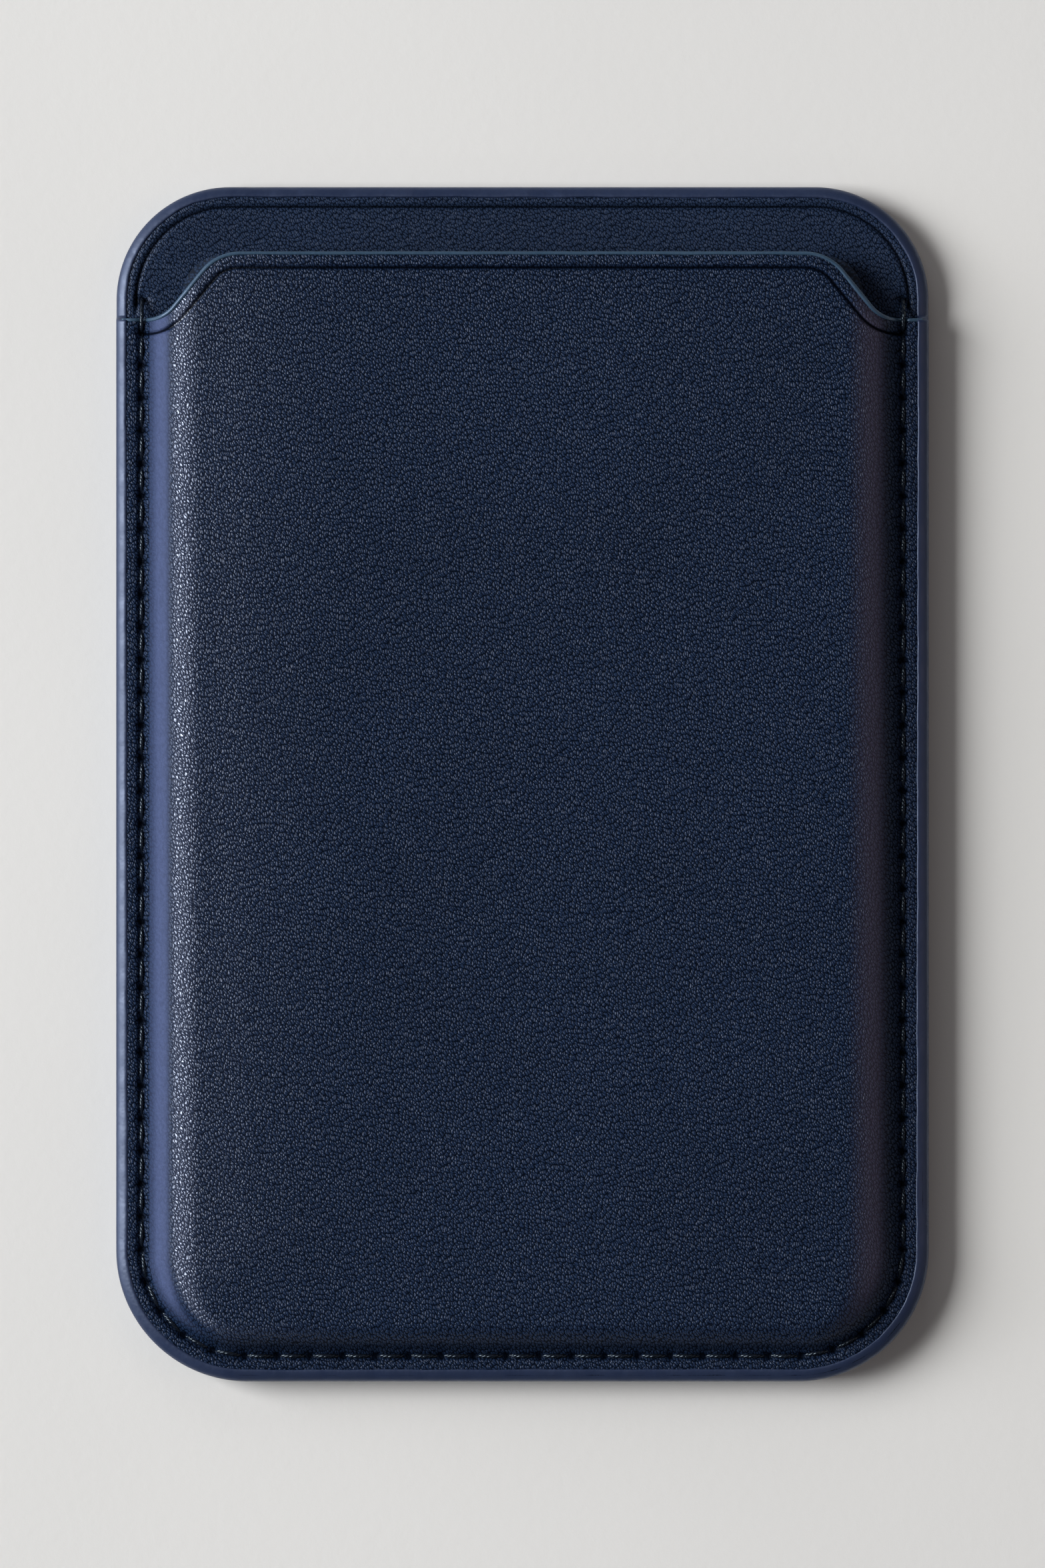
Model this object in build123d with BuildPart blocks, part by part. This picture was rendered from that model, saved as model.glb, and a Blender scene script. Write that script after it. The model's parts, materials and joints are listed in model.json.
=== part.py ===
"""Magnetic card wallet that clings to the back of a phone.

Lengths are millimetres. The origin is the centre of the magnet ring on the rear contact face,
+X is across the wallet, +Y points to the card mouth and +Z points out of the front leather.
The layers are stacked from the rear face up, and a stitched seam joins them on three sides.
"""

import os
from math import ceil, radians, tan

from build123d import *

# Outline of the whole wallet
WIDTH = 64.5
HEIGHT = 94.8
TOP_CORNER_RADIUS = 9.0
BOTTOM_CORNER_RADIUS = 10.4
RING_BELOW_TOP = 31.8
EDGE_PAINT = 0.5
EDGE_PAINT_ROUNDING = 0.35

# Layer thicknesses, from the rear face to the front leather
REAR_SKIN = 0.6
ADHESIVE = 0.1
MAGNET_FILM = 0.1
MAGNET = 0.8
YOKE = 0.2
SHIELD = 0.15
INNER_PANEL = 0.55
POCKET_DEPTH = 2.6
LINING = 0.12
STIFFENER = 0.2
FRONT_SKIN = 0.55

# Magnet ring and upright alignment magnet
RING_OUTER_RADIUS = 27.0
RING_INNER_RADIUS = 23.0
RING_MAGNETS = 16
RING_GAP_ANGLE = 28.0
MAGNET_SPACING = 0.3
BAR_WIDTH = 6.0
BAR_LENGTH = 19.0
BAR_BELOW_RING = 0.8
FIT_GAP = 0.1

# Magnet carrier and the frame around it
CARRIER_INSET = 4.3
FRAME_GAP = 0.1

# Thumb slot that lets the cards be pushed up from behind
SLOT_WIDTH = 22.0
SLOT_HEIGHT = 8.4
SLOT_ABOVE_BOTTOM = 10.0
SLOT_PAINT = 0.3

# Moulded swell of the front leather, and its mouth
SIDE_FOOT_INSET = 2.5
BOTTOM_FOOT_INSET = 2.6
SIDE_SLOPE = 62.0
BOTTOM_SLOPE = 88.0
FOOT_CORNER_RADIUS = 7.8
CORNER_SHRINK = 2.0
CORNER_THINNING = 1.7
ROLL_RADIUS = 2.0
FOOT_RADIUS = 0.25
MOUTH_BELOW_TOP = 5.25
SHOULDER_BELOW_TOP = 10.45
SHOULDER_TOP_INSET = 8.0
SHOULDER_FOOT_INSET = 3.75
SHOULDER_TOP_RADIUS = 4.0
SHOULDER_FOOT_RADIUS = 2.6
MOUTH_PAINT = 0.2

# Debossed crease lines
CREASE_INSET = 1.5
MOUTH_CREASE_INSET = 1.2
CREASE_WIDTH = 0.2
CREASE_DEPTH = 0.12

# Stitched seam
SEAM_INSET = 2.05
STITCH_PITCH = 2.6
FIRST_HOLE_BELOW_TOP = 9.0
NEEDLE_THREAD_RADIUS = 0.22
BOBBIN_THREAD_RADIUS = 0.18
STITCH_GAP = 0.05
SHOULDER_STITCH_RISE = 0.2
SHOULDER_STITCH_SINK = 0.05
NEEDLE_HOLE_RADIUS = 0.32
CHANNEL_WIDTH = 0.66
FRONT_CHANNEL_DEPTH = 0.35
REAR_CHANNEL_DEPTH = 0.45

# Standard ID-1 cards, upright in the pocket with the chip end at the mouth
CARD_WIDTH = 53.98
CARD_LENGTH = 85.6
CARD_THICKNESS = 0.76
CARD_CORNER_RADIUS = 3.18
CARD_GAP = 0.05
CARD_BELOW_MOUTH = 0.3
CHIP_WIDTH = 11.4
CHIP_LENGTH = 12.6
CHIP_THICKNESS = 0.1
CHIP_CORNER_RADIUS = 1.5
CHIP_RIGHT_OF_CENTRE = 3.1
CHIP_BELOW_TOP = 15.1
CHIP_CLEARANCE = 0.03

# Heights and places that follow from the dimensions above
TOP_Y = RING_BELOW_TOP
BOTTOM_Y = TOP_Y - HEIGHT
CARRIER = MAGNET_FILM + MAGNET + YOKE
CARRIER_Z = REAR_SKIN + ADHESIVE
SHIELD_Z = CARRIER_Z + CARRIER
INNER_PANEL_Z = SHIELD_Z + SHIELD + ADHESIVE
POCKET_FLOOR = INNER_PANEL_Z + INNER_PANEL
FRONT_STACK = LINING + STIFFENER + FRONT_SKIN
FLANGE_TOP = POCKET_FLOOR + FRONT_STACK
TOTAL_THICKNESS = FLANGE_TOP + POCKET_DEPTH
MOUTH_Y = TOP_Y - MOUTH_BELOW_TOP
SHOULDER_Y = TOP_Y - SHOULDER_BELOW_TOP
SLOT_Y = BOTTOM_Y + SLOT_ABOVE_BOTTOM
FIRST_HOLE_Y = TOP_Y - FIRST_HOLE_BELOW_TOP
LOCK_Z = FLANGE_TOP / 2
BEYOND = 8.0
NEAR = 0.01
BAR_Y = -(RING_OUTER_RADIUS + BAR_BELOW_RING + BAR_LENGTH / 2)


def wallet_outline(inset):
    """The wallet's outline seen from the front, inset evenly."""
    with BuildSketch() as outline:
        with Locations((0, (TOP_Y + BOTTOM_Y) / 2)):
            Rectangle(WIDTH - 2 * inset, HEIGHT - 2 * inset)
        fillet(outline.vertices().group_by(Axis.Y)[-1], TOP_CORNER_RADIUS - inset)
        fillet(outline.vertices().group_by(Axis.Y)[0], BOTTOM_CORNER_RADIUS - inset)
    return outline.sketch


def slot_outline(grow):
    """The thumb slot's outline, grown evenly."""
    with BuildSketch() as outline:
        with Locations((0, SLOT_Y)):
            SlotOverall(SLOT_WIDTH + 2 * grow, SLOT_HEIGHT + 2 * grow)
    return outline.sketch


def below_mouth(inset):
    """The region under the mouth line: level in the middle, with an S-shaped shoulder each side."""
    side = WIDTH / 2 + BEYOND
    shoulder_foot = WIDTH / 2 - SHOULDER_FOOT_INSET
    shoulder_top = WIDTH / 2 - SHOULDER_TOP_INSET
    with BuildSketch() as region:
        with BuildLine():
            Polyline(
                (-side, BOTTOM_Y - BEYOND),
                (-side, SHOULDER_Y),
                (-shoulder_foot, SHOULDER_Y),
                (-shoulder_top, MOUTH_Y),
                (shoulder_top, MOUTH_Y),
                (shoulder_foot, SHOULDER_Y),
                (side, SHOULDER_Y),
                (side, BOTTOM_Y - BEYOND),
                close=True,
            )
        make_face()
        for level, radius in ((MOUTH_Y, SHOULDER_TOP_RADIUS), (SHOULDER_Y, SHOULDER_FOOT_RADIUS)):
            inner = region.vertices().filter_by_position(Axis.X, -WIDTH / 2, WIDTH / 2)
            fillet(inner.filter_by_position(Axis.Y, level - NEAR, level + NEAR), radius)
        if inset:
            offset(amount=-inset)
    return region.sketch


def front_outline(mouth_inset):
    """The front layers' outline: the wallet's outline cut off at the mouth line."""
    with BuildSketch() as outline:
        add(wallet_outline(EDGE_PAINT))
        add(below_mouth(mouth_inset), mode=Mode.INTERSECT)
    return outline.sketch


def above(level_y, sketch):
    """The part of a sketch above a level line."""
    with BuildSketch() as kept:
        add(sketch)
        with Locations((0, level_y)):
            Rectangle(WIDTH + BEYOND, HEIGHT, align=(Align.CENTER, Align.MIN), mode=Mode.INTERSECT)
    return kept.sketch


def below(level_y, sketch):
    """The part of a sketch below a level line."""
    with BuildSketch() as kept:
        add(sketch)
        with Locations((0, level_y)):
            Rectangle(WIDTH + BEYOND, HEIGHT, align=(Align.CENTER, Align.MAX), mode=Mode.INTERSECT)
    return kept.sketch


def band(outer, inner):
    """What an outer sketch covers and an inner sketch doesn't."""
    with BuildSketch() as ring:
        add(outer)
        add(inner, mode=Mode.SUBTRACT)
    return ring.sketch


def swell_outline(half_width, bottom, corner_radius):
    """One level of the swell: open-ended past the mouth, with rounded bottom corners."""
    top = TOP_Y + BEYOND
    with BuildSketch() as outline:
        with Locations((0, bottom)):
            Rectangle(2 * half_width, top - bottom, align=(Align.CENTER, Align.MIN))
        fillet(outline.vertices().group_by(Axis.Y)[0], corner_radius)
    return outline.sketch


def front_form(depth):
    """A block whose upper surface lies a given depth under the front leather's outer face."""
    flange_z = FLANGE_TOP - depth
    half_width = WIDTH / 2 - SIDE_FOOT_INSET - depth * tan(radians(SIDE_SLOPE / 2))
    bottom = BOTTOM_Y + BOTTOM_FOOT_INSET + depth * tan(radians(BOTTOM_SLOPE / 2))
    side_run = POCKET_DEPTH / tan(radians(SIDE_SLOPE))
    bottom_run = POCKET_DEPTH / tan(radians(BOTTOM_SLOPE))
    corner_radius = FOOT_CORNER_RADIUS - CORNER_THINNING * depth
    foot = swell_outline(half_width, bottom, corner_radius)
    crown = swell_outline(half_width - side_run, bottom + bottom_run, corner_radius - CORNER_SHRINK)
    far_y = TOP_Y + BEYOND
    with BuildPart() as form:
        with BuildSketch(Plane.XY.offset(flange_z)):
            with Locations((0, far_y)):
                Rectangle(WIDTH + BEYOND, HEIGHT + 2 * BEYOND, align=(Align.CENTER, Align.MAX))
        extrude(amount=-flange_z)
        with BuildSketch(Plane.XY.offset(flange_z)):
            add(foot)
        with BuildSketch(Plane.XY.offset(flange_z + POCKET_DEPTH)):
            add(crown)
        loft(ruled=True)
        crown_face = form.faces().sort_by(Axis.Z)[-1]
        crown_edges = crown_face.edges().filter_by_position(Axis.Y, BOTTOM_Y, far_y - NEAR)
        fillet(crown_edges, ROLL_RADIUS - depth)
        flange_edges = form.edges().filter_by_position(Axis.Z, flange_z - NEAR, flange_z + NEAR)
        foot_edges = flange_edges.filter_by(
            lambda edge: abs(edge.center().X) < half_width + NEAR and edge.center().Y > bottom - NEAR
        ).filter_by_position(Axis.Y, BOTTOM_Y, far_y - NEAR)
        fillet(foot_edges, FOOT_RADIUS + depth)
    return form.part


def seam_points():
    """The needle holes, evenly spaced down one side, round the bottom and up the other."""
    side = WIDTH / 2 - SEAM_INSET
    radius = BOTTOM_CORNER_RADIUS - SEAM_INSET
    bend_y = BOTTOM_Y + BOTTOM_CORNER_RADIUS
    low_y = BOTTOM_Y + SEAM_INSET
    with BuildLine() as seam:
        Line((-side, FIRST_HOLE_Y), (-side, bend_y))
        RadiusArc((-side, bend_y), (-side + radius, low_y), -radius)
        Line((-side + radius, low_y), (side - radius, low_y))
        RadiusArc((side - radius, low_y), (side, bend_y), -radius)
        Line((side, bend_y), (side, FIRST_HOLE_Y))
    path = seam.wire()
    count = ceil(path.length / STITCH_PITCH)
    return [path.position_at(i / count) for i in range(count + 1)]


HOLES = seam_points()
REAR_OUTLINE = wallet_outline(EDGE_PAINT)
CARRIER_OUTLINE = wallet_outline(CARRIER_INSET)
SLOT_CUT = slot_outline(SLOT_PAINT)
SEAM_CHANNEL = below(
    FIRST_HOLE_Y + CHANNEL_WIDTH / 2,
    band(wallet_outline(SEAM_INSET - CHANNEL_WIDTH / 2), wallet_outline(SEAM_INSET + CHANNEL_WIDTH / 2)),
)
FRONT_SEAM_CHANNEL = SEAM_CHANNEL.moved(Location((0, 0, FLANGE_TOP)))
FRONT_FORM = front_form(0)
STIFFENER_FORM = front_form(FRONT_SKIN)
LINING_FORM = front_form(FRONT_SKIN + STIFFENER)
POCKET_FORM = front_form(FRONT_STACK)


def ring_slot(grow):
    """The C-shaped place of the magnet ring, open at the bottom."""
    half_gap = RING_GAP_ANGLE / 2
    reach = 2 * RING_OUTER_RADIUS
    with BuildSketch() as ring:
        Circle(RING_OUTER_RADIUS + grow)
        Circle(RING_INNER_RADIUS - grow, mode=Mode.SUBTRACT)
        with BuildLine():
            Polyline(
                (0, 0),
                (-reach * tan(radians(half_gap)), -reach),
                (reach * tan(radians(half_gap)), -reach),
                close=True,
            )
        make_face(mode=Mode.SUBTRACT)
    return ring.sketch


def bar_slot(grow):
    """The place of the alignment magnet under the ring."""
    with BuildSketch() as bar:
        with Locations((0, BAR_Y)):
            Rectangle(BAR_WIDTH + 2 * grow, BAR_LENGTH + 2 * grow)
    return bar.sketch


def trim_to(sketch):
    """Keeps what lies straight above a sketch in the part being built."""
    with BuildSketch(mode=Mode.PRIVATE) as outline:
        add(sketch)
    extrude(outline.sketch, amount=TOTAL_THICKNESS, mode=Mode.INTERSECT)


def cut_front_channel():
    """Cuts the channel of the front stitches into the part being built."""
    extrude(FRONT_SEAM_CHANNEL, amount=-FRONT_CHANNEL_DEPTH, mode=Mode.SUBTRACT)


def needle_holes():
    """Cuts the seam's needle holes through the part being built."""
    with Locations(*HOLES):
        Cylinder(NEEDLE_HOLE_RADIUS, 2 * (TOTAL_THICKNESS + BEYOND), mode=Mode.SUBTRACT)


def thread_run(points, radius):
    """A round thread along straight runs, rounded where they meet."""
    with BuildPart() as run:
        for near, far in zip(points, points[1:]):
            with Locations(Plane(near, z_dir=far - near)):
                Cylinder(radius, (far - near).length, align=(Align.CENTER, Align.CENTER, Align.MIN))
        for joint in points[1:-1]:
            with Locations(joint):
                Sphere(radius)
    return run.part


def stitches(holes, bar_z, radius):
    """One stitch from each hole to the next: a leg from where the threads lock, then a bar."""
    pitch = min((far - near).length for near, far in zip(holes, holes[1:]))
    bar_end = Vector(pitch - radius - STITCH_GAP, 0, bar_z)
    stitch = thread_run([Vector(0, 0, LOCK_Z), Vector(0, 0, bar_z), bar_end], radius)
    last_leg = thread_run([Vector(0, 0, LOCK_Z), Vector(0, 0, bar_z)], radius)
    with Locations(*[Plane(near, x_dir=far - near) for near, far in zip(holes, holes[1:])]):
        add(stitch)
    with Locations(holes[-1]):
        add(last_leg)


def shoulder_stitch(bar_z, radius):
    """The left end stitch, from the inner leather up over the shoulder edge of the front."""
    hole, next_hole = HOLES[0], HOLES[1]
    inner_z = POCKET_FLOOR + radius - SHOULDER_STITCH_SINK
    points = [
        Vector(hole.X, hole.Y, LOCK_Z),
        Vector(hole.X, hole.Y, inner_z),
        Vector(hole.X, SHOULDER_Y + SHOULDER_STITCH_RISE, bar_z),
        Vector(hole.X, next_hole.Y + radius + STITCH_GAP, bar_z),
    ]
    return thread_run(points, radius)


# Rear leather, which lies against the phone
with BuildPart() as rear_skin:
    with BuildSketch():
        add(REAR_OUTLINE)
        add(SLOT_CUT, mode=Mode.SUBTRACT)
    extrude(amount=REAR_SKIN)
    with BuildSketch():
        add(SEAM_CHANNEL)
    extrude(amount=REAR_CHANNEL_DEPTH, mode=Mode.SUBTRACT)
    needle_holes()

# Adhesive film that holds the magnet carrier to the rear leather
with BuildPart() as rear_adhesive:
    with BuildSketch(Plane.XY.offset(REAR_SKIN)):
        add(CARRIER_OUTLINE)
        add(SLOT_CUT, mode=Mode.SUBTRACT)
    extrude(amount=ADHESIVE)

# Leather-fibre frame that fills the seam's thickness around the carrier
with BuildPart() as core_frame:
    with BuildSketch(Plane.XY.offset(REAR_SKIN)):
        add(REAR_OUTLINE)
        add(wallet_outline(CARRIER_INSET - FRAME_GAP), mode=Mode.SUBTRACT)
    extrude(amount=INNER_PANEL_Z - REAR_SKIN)
    needle_holes()

# Glass-fibre carrier with through slots for the magnets
with BuildPart() as magnet_carrier:
    with BuildSketch(Plane.XY.offset(CARRIER_Z)):
        add(CARRIER_OUTLINE)
        add(SLOT_CUT, mode=Mode.SUBTRACT)
        add(ring_slot(FIT_GAP), mode=Mode.SUBTRACT)
        add(bar_slot(FIT_GAP), mode=Mode.SUBTRACT)
    extrude(amount=CARRIER)

# Film that covers the magnets on the phone side
with BuildPart() as magnet_film:
    with BuildSketch(Plane.XY.offset(CARRIER_Z)):
        add(ring_slot(0))
        add(bar_slot(0))
    extrude(amount=MAGNET_FILM)

# Ring of equal magnets, with a gap at the bottom
with BuildPart() as ring_magnets:
    with BuildSketch(Plane.XY.offset(CARRIER_Z + MAGNET_FILM)):
        add(ring_slot(0))
        first_joint = RING_GAP_ANGLE / 2 - 90
        with PolarLocations(0, RING_MAGNETS + 1, first_joint, 360 - RING_GAP_ANGLE, endpoint=True):
            Rectangle(
                RING_OUTER_RADIUS + BEYOND,
                MAGNET_SPACING,
                align=(Align.MIN, Align.CENTER),
                mode=Mode.SUBTRACT,
            )
    extrude(amount=MAGNET)

# Upright magnet that keeps the wallet from turning on the phone
with BuildPart() as alignment_magnet:
    with BuildSketch(Plane.XY.offset(CARRIER_Z + MAGNET_FILM)):
        add(bar_slot(0))
    extrude(amount=MAGNET)

# Steel yokes behind the magnets
with BuildPart() as magnet_yokes:
    with BuildSketch(Plane.XY.offset(CARRIER_Z + MAGNET_FILM + MAGNET)):
        add(ring_slot(0))
        add(bar_slot(0))
    extrude(amount=YOKE)

# Steel sheet that keeps the field off the cards
with BuildPart() as card_shield:
    with BuildSketch(Plane.XY.offset(SHIELD_Z)):
        add(CARRIER_OUTLINE)
        add(SLOT_CUT, mode=Mode.SUBTRACT)
    extrude(amount=SHIELD)

# Adhesive film that holds the inner leather to the shield
with BuildPart() as shield_adhesive:
    with BuildSketch(Plane.XY.offset(SHIELD_Z + SHIELD)):
        add(CARRIER_OUTLINE)
        add(SLOT_CUT, mode=Mode.SUBTRACT)
    extrude(amount=ADHESIVE)

# Inner leather: the pocket's back wall, which shows above the mouth
CREASE = above(
    SHOULDER_Y,
    band(wallet_outline(CREASE_INSET), wallet_outline(CREASE_INSET + CREASE_WIDTH)),
)
with BuildPart() as inner_panel:
    with BuildSketch(Plane.XY.offset(INNER_PANEL_Z)):
        add(REAR_OUTLINE)
        add(SLOT_CUT, mode=Mode.SUBTRACT)
    extrude(amount=INNER_PANEL)
    with BuildSketch(Plane.XY.offset(POCKET_FLOOR)):
        add(CREASE)
    extrude(amount=-CREASE_DEPTH, mode=Mode.SUBTRACT)
    needle_holes()

# Microfibre lining of the front
with BuildPart() as front_lining:
    add(LINING_FORM)
    add(POCKET_FORM, mode=Mode.SUBTRACT)
    trim_to(front_outline(MOUTH_PAINT))
    needle_holes()

# Moulded sheet that keeps the swell's shape
with BuildPart() as front_stiffener:
    add(STIFFENER_FORM)
    add(LINING_FORM, mode=Mode.SUBTRACT)
    trim_to(front_outline(MOUTH_PAINT))
    needle_holes()

# Front leather, with its creased mouth and the channel that the stitches lie in
with BuildPart() as mouth_crease:
    add(FRONT_FORM)
    add(front_form(CREASE_DEPTH), mode=Mode.SUBTRACT)
    trim_to(band(front_outline(MOUTH_CREASE_INSET), front_outline(MOUTH_CREASE_INSET + CREASE_WIDTH)))

with BuildPart() as front_skin:
    add(FRONT_FORM)
    add(STIFFENER_FORM, mode=Mode.SUBTRACT)
    trim_to(front_outline(MOUTH_PAINT))
    add(mouth_crease.part, mode=Mode.SUBTRACT)
    cut_front_channel()
    needle_holes()

# Paint on the mouth's cut edge
with BuildPart() as mouth_edge_paint:
    add(FRONT_FORM)
    add(POCKET_FORM, mode=Mode.SUBTRACT)
    trim_to(band(front_outline(0), front_outline(MOUTH_PAINT)))
    cut_front_channel()

# Rounded bead of paint round the wallet's cut edge, higher where the front layers are
with BuildPart() as outer_edge_paint:
    with BuildSketch():
        add(wallet_outline(0))
    extrude(amount=POCKET_FLOOR)
    with BuildSketch(Plane.XY.offset(POCKET_FLOOR)):
        add(below(SHOULDER_Y, wallet_outline(0)))
    extrude(amount=FRONT_STACK)
    level_edges = outer_edge_paint.edges().filter_by(Plane.XY)
    step_edges = outer_edge_paint.edges().filter_by_position(Axis.Y, SHOULDER_Y - NEAR, SHOULDER_Y + NEAR)
    fillet(level_edges - step_edges, EDGE_PAINT_ROUNDING)
    with BuildSketch():
        add(REAR_OUTLINE)
    extrude(amount=FLANGE_TOP, mode=Mode.SUBTRACT)

# Paint on the thumb slot's cut edge
with BuildPart() as slot_edge_paint:
    with BuildSketch():
        add(SLOT_CUT)
        add(slot_outline(0), mode=Mode.SUBTRACT)
    extrude(amount=POCKET_FLOOR)

# Needle thread in the front channel, bobbin thread in the rear channel
with BuildPart() as needle_thread:
    needle_bar_z = FLANGE_TOP - FRONT_CHANNEL_DEPTH + NEEDLE_THREAD_RADIUS
    left_end_stitch = shoulder_stitch(needle_bar_z, NEEDLE_THREAD_RADIUS)
    add(left_end_stitch)
    add(mirror(left_end_stitch, about=Plane.YZ))
    stitches(HOLES[1:-1], needle_bar_z, NEEDLE_THREAD_RADIUS)

with BuildPart() as bobbin_thread:
    bobbin_bar_z = REAR_CHANNEL_DEPTH - BOBBIN_THREAD_RADIUS
    stitches(HOLES, bobbin_bar_z, BOBBIN_THREAD_RADIUS)


def blank_card(bottom_z):
    """A blank ID-1 card with the recess for its chip contacts."""
    top_z = bottom_z + CARD_THICKNESS
    card_top = MOUTH_Y - CARD_BELOW_MOUTH
    with BuildPart() as card:
        with BuildSketch(Plane.XY.offset(bottom_z)):
            with Locations((0, card_top - CARD_LENGTH / 2)):
                RectangleRounded(CARD_WIDTH, CARD_LENGTH, CARD_CORNER_RADIUS)
        extrude(amount=CARD_THICKNESS)
        with BuildSketch(Plane.XY.offset(top_z)):
            with Locations((CHIP_RIGHT_OF_CENTRE, card_top - CHIP_BELOW_TOP)):
                RectangleRounded(
                    CHIP_WIDTH + 2 * CHIP_CLEARANCE, CHIP_LENGTH + 2 * CHIP_CLEARANCE, CHIP_CORNER_RADIUS
                )
        extrude(amount=-CHIP_THICKNESS, mode=Mode.SUBTRACT)
    return card


def chip_contact(bottom_z):
    """The chip's contact plate, flush with the card's face."""
    top_z = bottom_z + CARD_THICKNESS
    chip_y = MOUTH_Y - CARD_BELOW_MOUTH - CHIP_BELOW_TOP
    with BuildPart() as plate:
        with BuildSketch(Plane.XY.offset(top_z)):
            with Locations((CHIP_RIGHT_OF_CENTRE, chip_y)):
                RectangleRounded(CHIP_WIDTH, CHIP_LENGTH, CHIP_CORNER_RADIUS)
        extrude(amount=-CHIP_THICKNESS)
    return plate


# Two cards, with room left in front of them for a third
REAR_CARD_Z = POCKET_FLOOR + CARD_GAP
FRONT_CARD_Z = REAR_CARD_Z + CARD_THICKNESS + CARD_GAP

rear_card = blank_card(REAR_CARD_Z)
rear_card_chip = chip_contact(REAR_CARD_Z)
front_card = blank_card(FRONT_CARD_Z)
front_card_chip = chip_contact(FRONT_CARD_Z)

PIECES = {
    "rear_skin": rear_skin,
    "rear_adhesive": rear_adhesive,
    "core_frame": core_frame,
    "magnet_carrier": magnet_carrier,
    "magnet_film": magnet_film,
    "ring_magnets": ring_magnets,
    "alignment_magnet": alignment_magnet,
    "magnet_yokes": magnet_yokes,
    "card_shield": card_shield,
    "shield_adhesive": shield_adhesive,
    "inner_panel": inner_panel,
    "front_lining": front_lining,
    "front_stiffener": front_stiffener,
    "front_skin": front_skin,
    "mouth_edge_paint": mouth_edge_paint,
    "outer_edge_paint": outer_edge_paint,
    "slot_edge_paint": slot_edge_paint,
    "needle_thread": needle_thread,
    "bobbin_thread": bobbin_thread,
    "rear_card": rear_card,
    "rear_card_chip": rear_card_chip,
    "front_card": front_card,
    "front_card_chip": front_card_chip,
}

os.makedirs("parts", exist_ok=True)
for node, piece in PIECES.items():
    piece.part.label = node
    export_step(piece.part, f"parts/{node}.step")
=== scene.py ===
"""Looks of the magnetic card wallet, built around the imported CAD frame.

Shapes are worked out in millimetres in the CAD's frame: +X across the wallet, +Y towards the
card mouth, +Z out of the front leather. They turn into metres as each mesh is made.
"""

import json
import math

import bpy
import numpy as np
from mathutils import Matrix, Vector
from mathutils.geometry import delaunay_2d_cdt

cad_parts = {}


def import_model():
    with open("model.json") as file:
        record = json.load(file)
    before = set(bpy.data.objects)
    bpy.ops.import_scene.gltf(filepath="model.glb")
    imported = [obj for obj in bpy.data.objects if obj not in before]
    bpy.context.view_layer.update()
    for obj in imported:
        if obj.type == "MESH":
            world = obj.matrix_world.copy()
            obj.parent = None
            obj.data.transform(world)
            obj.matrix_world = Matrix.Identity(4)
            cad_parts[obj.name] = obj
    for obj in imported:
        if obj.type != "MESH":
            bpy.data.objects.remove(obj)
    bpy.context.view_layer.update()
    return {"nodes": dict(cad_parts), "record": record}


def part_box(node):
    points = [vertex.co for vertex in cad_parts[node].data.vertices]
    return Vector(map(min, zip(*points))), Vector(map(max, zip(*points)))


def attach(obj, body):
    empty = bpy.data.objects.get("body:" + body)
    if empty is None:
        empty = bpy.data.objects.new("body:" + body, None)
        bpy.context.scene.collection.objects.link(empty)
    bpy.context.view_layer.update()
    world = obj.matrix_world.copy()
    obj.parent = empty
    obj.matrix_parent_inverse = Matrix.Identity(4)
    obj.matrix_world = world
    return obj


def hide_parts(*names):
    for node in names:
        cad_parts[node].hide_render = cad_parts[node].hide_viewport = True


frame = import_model()

MM = 0.001


def cad_box(node):
    """A CAD node's lowest and highest corners in millimetres."""
    low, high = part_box(node)
    return np.array(low) / MM, np.array(high) / MM


# Places that the CAD frame gives
EDGE_LOW, EDGE_HIGH = cad_box("outer_edge_paint")
MOUTH_LOW, MOUTH_HIGH = cad_box("mouth_edge_paint")
SLOT_LOW, SLOT_HIGH = cad_box("slot_edge_paint")
REAR_HIGH = cad_box("rear_skin")[1]
INNER_LOW, INNER_HIGH = cad_box("inner_panel")
FRONT_HIGH = cad_box("front_skin")[1]
HALF_WIDTH = EDGE_HIGH[0]
BOTTOM, TOP = EDGE_LOW[1], EDGE_HIGH[1]
FLANGE_Z = EDGE_HIGH[2]
FLOOR_Z = INNER_HIGH[2]
CROWN_Z = FRONT_HIGH[2]
REAR_TOP_Z = REAR_HIGH[2]
MOUTH_Y = MOUTH_HIGH[1]
MOUTH_PAINT = MOUTH_HIGH[1] - FRONT_HIGH[1]
SHOULDER_Y = MOUTH_LOW[1] + MOUTH_PAINT
LEATHER_INSET = HALF_WIDTH - FRONT_HIGH[0]

# Outline radii and mouth shape, as in the CAD
TOP_CORNER = 9.0
BOTTOM_CORNER = 10.4
SHOULDER_TOP_X = HALF_WIDTH - 8.0
SHOULDER_FOOT_X = HALF_WIDTH - 3.75
SHOULDER_TOP_RADIUS = 4.0
SHOULDER_FOOT_RADIUS = 2.6

# Swell of the front leather: where its foot lies, how wide its slopes are, and its falls and waves
SIDE_FOOT = 2.5
BOTTOM_FOOT = 2.6
FOOT_CORNER = 7.5
SIDE_RUN = 4.4
BOTTOM_RUN = 2.3
SWELL_POWER = 2.75
EDGE_DROP = 0.14
EDGE_DROP_END = 1.2
MOUTH_DROP = 0.12
MOUTH_DROP_END = 0.8
WAVE_DEPTH = 0.015
WAVE_LENGTH = 17.0
PILLOW_DEPTH = 0.22
PILLOW_REACH_X = 26.0
PILLOW_REACH_Y = 45.0
FOOT_SOFTNESS = 0.22

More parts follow.
